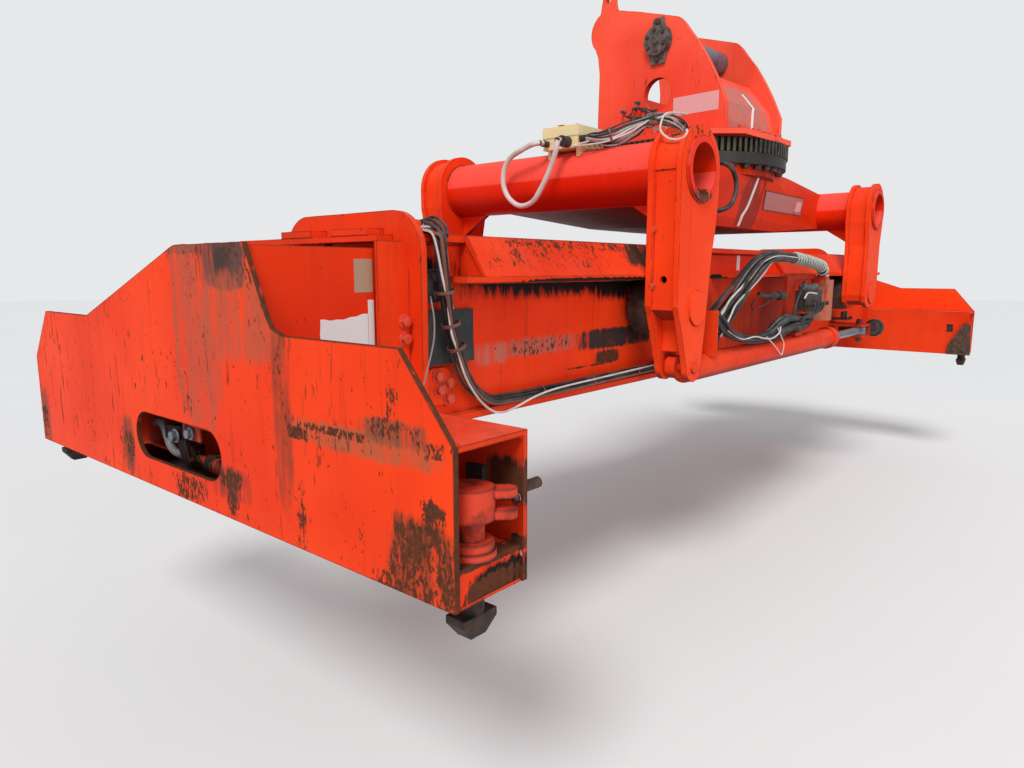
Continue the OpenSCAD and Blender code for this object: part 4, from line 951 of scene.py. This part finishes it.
VALVE_HOSES = [
    (-1090, -652, 345), (-1072, -652, 345), (-1035, -652, 362), (-985, -655, 405), (-930, -664, 465),
    (-785, -680, 567), (-580, -680, 687), (-430, -680, 738), (-290, -680, 756), (-60, -680, 749),
    (180, -680, 734), (410, -680, 712), (470, -680, 701), (512, -678, 678), (530, -675, 661), (530, -675, 640)]
VALVE_RETURN = [
    (-1090, -712, 468), (-1072, -712, 468), (-1045, -712, 458), (-1000, -712, 430), (-913, -710, 391),
    (-760, -705, 354), (-585, -702, 334), (-300, -702, 338), (-140, -700, 354), (0, -694, 366),
    (110, -684, 372), (160, -678, 380), (186, -676, 394), (205, -674, 411), (205, -674, 425)]
FRAME_HARNESS = [
    (-2458, -468, 812), (-2448, -468, 812), (-2434, -482, 812), (-2428, -504, 811), (-2424, -523, 792),
    (-2424, -530, 750), (-2399, -528, 588), (-2371, -528, 477), (-2324, -526, 366), (-2268, -520, 293),
    (-2195, -513, 248), (-2100, -508, 236), (-1780, -508, 234), (-1450, -508, 239), (-1032, -508, 244),
    (-1017, -506, 244), (-1005, -500, 244), (-1000, -489, 244), (-1000, -476, 244)]

# single wires and hoses: radius and route of each
TUBE_WHITE = (
    (4.5, [(-1331, -240, 1250), (-1330, -262, 1236), (-1300, -330, 1238), (-1240, -400, 1300),
     (-1170, -446, 1352), (-1150, -520, 1368), (-1170, -590, 1352), (-1440, -640, 1306),
     (-1478, -634, 1262), (-1484, -640, 1228), (-1480, -672, 1200), (-1478, -705, 1192),
     (-1476, -733, 1196), (-1462, -742, 1214), (-1440, -730, 1232)]),
    (4, [(-1435, -240, 1252), (-1440, -262, 1240), (-1470, -200, 1222), (-1440, -330, 1226),
     (-1380, -420, 1262), (-1290, -440, 1310), (-1200, -430, 1348), (-1090, -452, 1372),
     (-1000, -440, 1362), (-930, -400, 1350)]))
VALVE_WHITE = (
    (5, [(-1060, -705, 430), (-982, -712, 488), (-920, -712, 538), (-844, -712, 574), (-741, -712, 616),
     (-671, -712, 649), (-560, -704, 700), (-440, -692, 738), (-330, -684, 754)]),
    (4.5, [(-985, -705, 372), (-890, -708, 464), (-848, -710, 511), (-758, -712, 557), (-640, -712, 604),
     (-513, -706, 656), (-400, -696, 708), (-300, -688, 740), (-200, -684, 750)]),
    (4, [(-960, -730, 400), (-800, -733, 350), (-640, -733, 350), (-494, -733, 330), (-396, -733, 327),
     (-312, -733, 350), (-287, -728, 378)]),
    (3, [(-493, -735, 338), (-419, -738, 302), (-340, -738, 262), (-309, -738, 244), (-270, -738, 228),
     (-250, -738, 284), (-292, -736, 328), (-329, -728, 376)]))
RIBBED = (
    [(-470, -700, 336), (-340, -704, 352), (-220, -704, 388), (-90, -700, 408), (60, -690, 404),
     (170, -680, 396), (240, -678, 424)],
    [(-420, -690, 330), (-300, -680, 362), (-180, -676, 402), (-60, -674, 418), (90, -672, 410),
     (215, -664, 400), (290, -662, 424)],
    [(-360, -706, 320), (-230, -712, 340), (-80, -712, 356), (60, -708, 352), (180, -700, 352),
     (270, -688, 372), (320, -684, 424)])
INLET = [(-390, -640, 556), (-350, -648, 545), (-300, -650, 540), (-255, -650, 544)]
INLET_WIRE = (
    (3.5, [(-260, -655, 545), (-389, -650, 551), (-455, -650, 530), (-504, -650, 496), (-470, -655, 470),
     (-421, -655, 485), (-313, -655, 500), (-240, -652, 520), (-140, -650, 534)]),)
FRAME_WHITE = (
    (3.8, [(-2470, -500, 800), (-2462, -534, 788), (-2452, -545, 740), (-2432, -545, 660),
     (-2412, -545, 590), (-2404, -543, 540), (-2392, -543, 480), (-2368, -541, 430),
     (-2330, -540, 340), (-2268, -537, 262), (-2205, -534, 214), (-2150, -532, 196),
     (-2080, -531, 200), (-1960, -531, 226), (-1820, -531, 240), (-1560, -531, 246),
     (-1250, -530, 252), (-1060, -525, 254)]),
    (4, [(-2470, -486, 808), (-2440, -524, 806), (-2412, -535, 770), (-2402, -538, 700),
     (-2396, -538, 610), (-2380, -536, 560)]))
LOOSE_WIRE = (
    (2.6, [(-2452, -512, 600), (-2462, -530, 572), (-2466, -542, 530), (-2472, -546, 476),
     (-2486, -546, 424), (-2504, -543, 370), (-2520, -538, 310), (-2530, -530, 256),
     (-2534, -520, 216)]),)
SECTION_HOSE = [(200, -668, 598), (150, -700, 612), (60, -705, 560), (20, -700, 500), (-10, -700, 440),
                (-60, -705, 400)]
SECTION_WIRE = ((5, [(110, -712, 516), (118, -716, 530), (140, -718, 546), (200, -718, 548), (300, -718, 540)]),)
SLOT_HOSE = ([-2940, -2940, -2940, -2940, -2940, -2940, -2936], [330, 290, 262, 236, 205, 160, 110],
             [170, 178, 158, 112, 92, 88, 96])

# profiles of (radius, height) rows, and how far each row is hexagonal
PLUG = turned_profile([(0, 0), (7, 0), (9, 3), (9, 34), (12, 36), (12, 44), (9, 46), (9, 66), (6, 72), (0, 72)], 12)
COUPLING = turned_profile([(0, 0), (17, 0), (17, 22), (13, 24), (13, 40), (20, 42), (20, 78), (15, 80), (15, 130),
                           (0, 130)], 12, [0, 1, 1, 0, 0, 1, 1, 0, 0, 0])
CAP = turned_profile([(0, 0), (24, 0), (26, 4), (26, 60), (22, 64), (22, 72), (0, 72)], 14)
LENS = turned_profile([(0, 72), (54, 72), (56, 76), (50, 80), (30, 86), (0, 88)], 28)
CAGE_RING = turned_profile([(57, 60), (63, 60), (65, 66), (65, 92), (60, 96), (57, 90), (57, 60)], 28)
PORT = turned_profile([(0, 0), (15, 0), (15, 8), (11, 10), (11, 34), (13, 36), (13, 46), (0, 48)], 12,
                      [0, 1, 1, 0, 0, 1, 1, 0])
SOLENOID = turned_profile([(0, 0), (17, 0), (19, 3), (19, 30), (17, 33), (9, 34), (9, 40), (0, 40)], 14)
SCREW = turned_profile([(0, -1), (7, -1), (7, 2), (5, 4), (2, 4.4), (2, 3), (0, 3)], 14)
PIN = turned_profile([(0, 0), (9, 0), (9, 6), (6, 8), (6, 14), (0, 14)], 14)
STUB = turned_profile([(0, 0), (13, 0), (13, 9), (9, 11), (9, 26), (12, 28), (12, 40), (7, 44), (0, 44)], 12,
                      [0, 1, 1, 0, 0, 1, 1, 0, 0])


def runs_of(table, path=yoke):
    """Smooth paths and radii of a table of wires."""
    return [(path(q), r) for r, q in table]


class SPR_OT_tube_cables(bpy.types.Operator):
    """Bundle, loop and hose on the near tube and the side of the yoke"""
    bl_idname = "spreader.tube_cables"
    bl_label = "Cables on the tube"

    def execute(self, context):
        path = yoke(TUBE_HARNESS)
        radii = [5, 4, 6, 4.5, 5, 4, 5.5, 4, 5, 4.5, 4, 5, 4.5, 4]
        runs = strands(path, radii, 17 * MM, 3, 2.2, (0.5, 1.1, 1.9, 2.2, 1.9, 1.1, 0.7), 0.5)
        extra = []
        for k, (x, r) in enumerate(((-1381, 5), (-1331, 6), (-1280, 5), (-1374, 4), (-1336, 4))):
            route = [(x, -238, 1256), (x + 2, -262, 1254 - 3 * k), (x + 30 - 4 * k, -318, 1252),
                     (x + 92 - 12 * k, -376, 1286), (-1235 + 22 * k, -400 - 6 * k, 1326 + 4 * k),
                     (-1120 + 20 * k, -426, 1356), (-1010, -418 - 4 * k, 1366), (-880, -420, 1342),
                     (-806, -388, 1290)]
            extra.append((yoke(route), r))
        build("tube_bundle_black", "yoke", "hose", tubes(runs[1::3] + extra[::2]), hides=("tube_harness",))
        build("tube_bundle_grey", "yoke", "cable_grey", tubes(runs[0::3] + extra[1::2]))
        build("tube_bundle_white", "yoke", "cable_white", tubes(runs[2::3] + runs_of(TUBE_WHITE)))
        plugs = []
        feet = ((-1268, -404, 1316), (-1236, -436, 1322), (-1196, -400, 1344), (-1160, -444, 1336))
        for k, (x, y, z) in enumerate(feet):
            plugs.append(placed(PLUG, at(x + PIN_X, y, z), unit(np.array([1.0, -0.12 * k, 0.3 - 0.1 * k]))))
        build("bundle_plugs", "yoke", "cable_brown", plugs)
        build("bundle_ties", "yoke", "cable_brown", band(path, (16, 33, 47, 58), 33, 4))
        loop, side = yoke(TUBE_LOOP), yoke(SIDE_HOSE)
        for name, finish, line, r, node in (("gland_loop", "cable_white", loop, 12, "tube_loop"),
                                            ("side_hose", "hose", side, 12.5, "ring_hose")):
            piece = build(name, "yoke", finish, [sweep(line, r * MM, 14)], hides=(node,))
        nuts = [placed(hose_end(9), line[k], way) for line, way in ((loop, (-1, 0, 0)), (side, (0, -1, 0)))
                for k in (0, -1)]
        nuts += [placed(hose_end(8.5), at(x + PIN_X, -236, 1256), (0, -1, 0)) for x in (-1435, -1381, -1331, -1280)]
        build("yoke_hose_ends", "yoke", "steel", nuts, crease=30)
        return {"FINISHED"}


class SPR_OT_valve_cables(bpy.types.Operator):
    """Bundle over the valve block and back under it, with its hoses and fittings"""
    bl_idname = "spreader.valve_cables"
    bl_label = "Hoses of the valve block"

    def execute(self, context):
        upper = yoke(VALVE_HOSES)
        fan = (1.0, 1.9, 3.0, 3.1, 2.4, 1.5, 0.9, 0.75, 0.7, 0.65, 0.65)
        level = (0, 1, 0.05)
        runs = strands(upper, [9.5, 9, 10, 9, 9.5, 8.5, 10, 9, 8.5, 9.5], 25 * MM, 5, 0.5, fan, 0.18, level, 0.2)
        back = strands(yoke(VALVE_RETURN), [9, 8.5, 9, 8, 9, 8, 8.5], 18 * MM, 6, 1.8,
                       (1.0, 1.5, 1.5, 1.3, 1.2, 0.9), 0.3)
        build("valve_bundle", "yoke", "hose", tubes(runs, 9), hides=("valve_hoses",))
        build("return_bundle", "yoke", "hose", tubes(back, 9), hides=("valve_return",))
        build("valve_hose_ends", "yoke", "steel", ends_of(runs) + ends_of(back) + ends_of(runs, True), crease=30)
        thin = strands(upper[:61], [3.5, 4, 3, 3.5], 28 * MM, 9, 0.6, (0.9, 1.8, 2.4, 2.2, 1.6, 0.9, 0.6), 0.3,
                       level, 0.3)
        build("valve_wires", "yoke", "cable_white", tubes(thin + runs_of(VALVE_WHITE)))
        guarded = upper[int(len(upper) * 0.615):]
        build("coil_guard", "yoke", "coil", [coiled(guarded, 0.044, 0.0295, 0.0065)])
        build("ribbed_hoses", "yoke", "hose", [ribbed(yoke(q), 17) for q in RIBBED])
        inlet = [sweep(yoke(INLET), 11 * MM, 12), placed(COUPLING, at(-70, -650, 543), (1, 0, -0.03)),
                 placed(CAP, at(62, -650, 539), (1, 0, -0.03))]
        build("inlet_fitting", "yoke", "steel", inlet, crease=30)
        build("inlet_wires", "yoke", "hose", tubes(runs_of(INLET_WIRE)))
        return {"FINISHED"}


class SPR_OT_frame_cables(bpy.types.Operator):
    """Bundle over the near portal and along the main frame, and the hose behind each slot"""
    bl_idname = "spreader.frame_cables"
    bl_label = "Cables of the main frame"

    def execute(self, context):
        path = main_path(FRAME_HARNESS)
        runs = strands(path, [5, 6, 5, 6.5, 5, 6, 5.5, 5, 6], 17 * MM, 8, 2.6,
                       (0.8, 1.7, 1.5, 1.5, 1.1, 1.0, 0.95, 0.9), 0.3)
        clean = [run for k, run in enumerate(runs) if k % 4]
        build("frame_bundle", "main_frame", "hose", tubes(clean), hides=("frame_harness",))
        build("frame_bundle_rusty", "main_frame", "cable_brown", tubes(runs[0::4]))
        build("frame_bundle_white", "main_frame", "cable_white", tubes(runs_of(FRAME_WHITE, main_path)))
        build("loose_wire", "main_frame", "cable_grey", tubes(runs_of(LOOSE_WIRE, main_path)))
        marks = [int(len(path) * k) for k in (0.33, 0.375, 0.41, 0.65, 0.7, 0.745, 0.77)]
        ties = band(path, marks[:3], 30, 5) + band(path, marks[3:], 21, 3)
        build("frame_ties", "main_frame", "cable_brown", ties)
        fitting = [tile(64, 104, 8, 26, 4, at(-2424, -WEB_FACE, 632), (0, -1, 0)),
                   placed(hex_bolt(24), at(-2424, -WEB_FACE - 26, [604, 660]), (0, -1, 0))]
        build("cable_fitting", "main_frame", "steel", fitting, crease=30)
        for flip, end in ENDS:
            hose = smooth_path(at_end(flip, *SLOT_HOSE), 6)
            build("slot_hose_" + end, end + "_end", "cable_grey", [sweep(hose, 13 * MM, 10)])
            nuts = [placed(hose_end(12), hose[-1], unit(hose[-3] - hose[-1])),
                    placed(hex_bolt(30), at_end(flip, -2986, 83, 170), (-flip, 0, 0))]
            build("slot_nuts_" + end, end + "_end", "rod", nuts, crease=30)
        return {"FINISHED"}


class SPR_OT_lamps(bpy.types.Operator):
    """Lens, cage and bolts of the two work lamps"""
    bl_idname = "spreader.lamps"
    bl_label = "Work lamps"

    def execute(self, context):
        lamp_x, lamp_y, lamp_z = 1640, -722, 258
        lens, cage, bolts = [], [], []
        for s in (1, -1):
            middle, way = at_end(s, lamp_x + 100, lamp_y, lamp_z), (s, 0, 0)
            lens.append(placed(LENS, middle, way))
            cage.append(placed(CAGE_RING, middle, way))
            for k in range(-2, 3):
                h = math.sqrt(60 ** 2 - (k * 22) ** 2)
                reach = np.linspace(-h, h, 5)
                bow = lamp_x + 190 - 4 * abs(k)
                bars = ((at_end(s, bow + 6, lamp_y + k * 22, lamp_z + reach), (1, 0.2, 0)),
                        (at_end(s, bow, lamp_y + reach, lamp_z + k * 22), (1, 0.2, 0.1)))
                cage += [sweep(bar, 2.5 * MM, 6, ref) for bar, ref in bars]
            bolts += [placed(hex_bolt(18), at_end(s, [lamp_x - 50, lamp_x + 50], -590, 332), UP)]
            bolts += [placed(hex_bolt(34), at_end(s, lamp_x, -665, z), way) for z, way in ((308, UP), (183, DOWN))]
        build("lamp_lenses", "main_frame", "glass", lens, crease=30)
        build("lamp_cages", "main_frame", "steel", cage, crease=30)
        build("lamp_bolts", "main_frame", "bolt_dark", bolts, crease=30)
        return {"FINISHED"}


class SPR_OT_details(bpy.types.Operator):
    """Valve sections, box lid, stop blocks, nubs, cheek fittings and the parts round the slots, with a dark tray of
    painted shade in the bottom of each slot
    """
    bl_idname = "spreader.details"
    bl_label = "Small parts"

    def execute(self, context):
        sections, coils, hoses = [], [], []
        for k in range(5):
            x = 372 + k * 58
            sections += [tile(52, 112, 5, 9, 2, at(x, -699, 500), (0, -1, 0)),
                         placed(PORT, at(x, -708, 478), (0, -1, 0.1))]
            coils.append(placed(SOLENOID, at(x, -670, 560), UP))
        build("valve_sections", "yoke", "steel", sections, crease=30)
        build("valve_coils", "yoke", "sleeve", coils)
        for k in range(4):
            route = [(180 + 58 * k, -740, 476), (178 + 52 * k, -752, 470), (160 + 46 * k, -748, 446),
                     (120 + 40 * k, -735, 424), (60 + 36 * k, -722, 404)]
            hoses.append((yoke(route), 7))
        build("section_hoses", "yoke", "hose", tubes(hoses + [(yoke(SECTION_HOSE), 8)], 9))
        build("section_wire", "yoke", "cable_white", tubes(runs_of(SECTION_WIRE)))

        lid = [tile(168, 150, 12, 5, 2, at(-1164, -115, 1316), UP),
               tile(214, 34, 3, 3, 1, at(-1164, -115, 1321), UP, (0, 1, 0))]
        build("box_lid", "yoke", "cream", lid, crease=30)
        corners = at([-1256, -1256, -1072, -1072], [-200, -30, -200, -30], 1316)
        build("box_screws", "yoke", "rod", [placed(SCREW, corners, UP)])

        nubs = [placed(hex_bolt(24), at(PIN_X + s * 1492, s * 625, [843, 613]), (s, 0, 0)) for s in SIDES]
        build("arm_nubs", "yoke", "bolt", nubs, crease=30)
        y, z = np.array([(225, 1601), (178, 1565), (126, 1640), (99, 1600), (143, 1607), (72, 1585), (36, 1549),
                         (11, 1569)]).T
        stubs = placed(STUB, at_head(-CHEEK_X, y, z), head_way(-1, 0, 0), scale=MM * 0.85)
        build("cheek_fittings", "tilt_head", "keeper", [stubs], crease=30)
        leads = ([(225, 1601), (200, 1575), (178, 1565), (150, 1580), (143, 1607)],
                 [(126, 1640), (110, 1622), (99, 1600), (84, 1588), (72, 1585)],
                 [(178, 1565), (110, 1552), (60, 1545), (36, 1549), (11, 1569), (-30, 1572)],
                 [(99, 1600), (60, 1592), (20, 1580), (-24, 1560)])
        runs = [(smooth_path(at_head(-386 - 5 * k, *np.array(q).T), 5), 4.5) for k, q in enumerate(leads)]
        build("cheek_leads", "tilt_head", "hose", tubes(runs))

        for flip, end in ENDS:
            body, inward = end + "_end", (-flip, 0, 0)
            blocks = [tile(56, 74, 5, 16, 3, at_end(flip, -2812, s * 1047, 209), inward) for s in SIDES]
            build("stop_blocks_" + end, body, "flap", blocks, crease=30)
            pins = [placed(PIN, at_end(flip, -2814, s * 1163, 189), inward) for s in SIDES]
            build("plate_pins_" + end, body, "bolt_dark", pins, crease=30)
            # a dark tray closes the bottom of each slot: painted shade in place of the shaded ground seen through
            # the open bottom
            tray = tile(184, 920, 4, 8, 1, at_end(flip, -2914, 230, 12), UP)
            build("slot_shade_tray_" + end, body, "steel", [tray], crease=30)
            plate = tile(110, 58, 4, 8, 1.5, at_end(flip, -2988, -42, 204), inward)
            build("slot_bracket_" + end, body, "oily_shaded", [plate], crease=30)
            bolt = placed(hex_bolt(26), at_end(flip, -2996, -38, 196), inward)
            build("slot_bolt_" + end, body, "rod", [bolt], crease=30)
        return {"FINISHED"}


class SPR_OT_flap(bpy.types.Operator):
    """Rubber flap on the web of the main frame"""
    bl_idname = "spreader.flap"
    bl_label = "Rubber flap"

    def execute(self, context):
        rows, cols, thick = 12, 10, 13
        u, v = np.meshgrid(np.linspace(0, 1, rows), np.linspace(0, 1, cols), indexing="ij")
        sag = 5 * np.sin(u * 5.1 + 0.6) * v + 6 * v * v
        front, back = (at(-2454 + 220 * u, -472 - out - sag, 555 - 172 * v) for out in (thick, 0))
        wall = np.stack([np.concatenate([q[:, 0], q[-1, 1:], q[-2::-1, -1], q[0, -2:0:-1]]) for q in (front, back)])
        sheet = grid_faces(rows, cols, False)
        parts = [(front, sheet), (back, sheet), (wall, grid_faces(2, wall.shape[1]))]
        build("web_flap", "main_frame", "flap", parts)
        return {"FINISHED"}


# the stage, in metres
FLOOR_Z, FLOOR_HALF = -2.82, 40.0
LOOK_AT = (0, 0, -1.4)
SKY, SKY_STRENGTH = (0.93, 0.95, 1, 1), 0.56
BACKDROP = (0.80, 0.81, 0.82, 1)
CAMERA_PLACE = (-4.1678, -2.1392, -1.2691)
CAMERA_TURN = (math.radians(80.99), 0, math.radians(-49.58))
CAMERA_LENS, CAMERA_SENSOR = 25.33, 36  # millimetres


def lamp(name, kind, energy, place, size):
    """A soft studio light that looks at the middle of the object; size is a width, or a sun's angle."""
    data = bpy.data.lights.new(name, kind)
    data.energy = energy
    setattr(data, "size" if kind == "AREA" else "angle", size)
    o = bpy.data.objects.new(name, data)
    bpy.context.collection.objects.link(o)
    o.location = place
    d = np.array(LOOK_AT) - np.array(place)
    o.rotation_euler = (math.atan2(math.hypot(d[0], d[1]), -d[2]), 0, math.atan2(d[1], d[0]) - math.pi / 2)


class SPR_OT_stage(bpy.types.Operator):
    """Floor, soft studio light and the camera at the photograph's view"""
    bl_idname = "spreader.stage"
    bl_label = "Stage, lamps and camera"

    def execute(self, context):
        sc = context.scene
        sc.view_settings.view_transform = "Standard"
        floor_mesh = bpy.data.meshes.new("floor")
        corners = [(x * FLOOR_HALF, y * FLOOR_HALF, FLOOR_Z) for x, y in ((-1, -1), (1, -1), (1, 1), (-1, 1))]
        floor_mesh.from_pydata(corners, [], [(0, 1, 2, 3)])
        floor = bpy.data.objects.new("floor", floor_mesh)
        context.collection.objects.link(floor)
        floor_mesh.materials.append(floor_paint())
        world = bpy.data.worlds.new("studio")
        sc.world = world
        world.use_nodes = True
        nodes, links = world.node_tree.nodes, world.node_tree.links
        soft = nodes["Background"]
        soft.inputs[0].default_value = SKY
        soft.inputs[1].default_value = SKY_STRENGTH
        back = nodes.new("ShaderNodeBackground")
        back.inputs[0].default_value = BACKDROP
        either = nodes.new("ShaderNodeMixShader")
        links.new(nodes.new("ShaderNodeLightPath").outputs["Is Camera Ray"], either.inputs[0])
        links.new(soft.outputs[0], either.inputs[1])
        links.new(back.outputs[0], either.inputs[2])
        links.new(either.outputs[0], nodes["World Output"].inputs[0])
        lamp("key", "SUN", 2.25, (-8, -3.5, 8), math.radians(22))
        lamp("fill", "AREA", 200, (-3, -9, 1.5), 5)
        cam = bpy.data.cameras.new("photo view")
        cam.sensor_width = CAMERA_SENSOR
        cam.lens = CAMERA_LENS
        cam.clip_end = 200
        o = bpy.data.objects.new("photo view", cam)
        context.collection.objects.link(o)
        o.location = CAMERA_PLACE
        o.rotation_euler = CAMERA_TURN
        sc.camera = o
        return {"FINISHED"}


class SPR_PT_panel(bpy.types.Panel):
    bl_idname = "SPR_PT_panel"
    bl_label = "Container spreader"
    bl_space_type = "VIEW_3D"
    bl_region_type = "UI"
    bl_category = "Spreader"

    def draw(self, context):
        for group in (context.scene.spreader_finish, context.scene.spreader_sizes):
            for key in group.__annotations__:
                self.layout.prop(group, key)
        for op in STEPS:
            self.layout.operator(op.bl_idname)

STEPS = [SPR_OT_materials, SPR_OT_fasteners, SPR_OT_welds, SPR_OT_marks, SPR_OT_tube_cables, SPR_OT_valve_cables,
         SPR_OT_frame_cables, SPR_OT_lamps, SPR_OT_details, SPR_OT_flap, SPR_OT_stage]
CLASSES = [SPR_PG_finish, SPR_PG_sizes, *STEPS, SPR_PT_panel]


def register():
    for c in CLASSES:
        bpy.utils.register_class(c)
    bpy.types.Scene.spreader_finish = bpy.props.PointerProperty(type=SPR_PG_finish)
    bpy.types.Scene.spreader_sizes = bpy.props.PointerProperty(type=SPR_PG_sizes)


def unregister():
    del bpy.types.Scene.spreader_sizes
    del bpy.types.Scene.spreader_finish
    for c in reversed(CLASSES):
        bpy.utils.unregister_class(c)


def main():
    register()
    for step in STEPS:
        getattr(bpy.ops.spreader, step.bl_idname.split(".")[1])()
    bpy.context.view_layer.update()


if __name__ == "__main__":
    main()
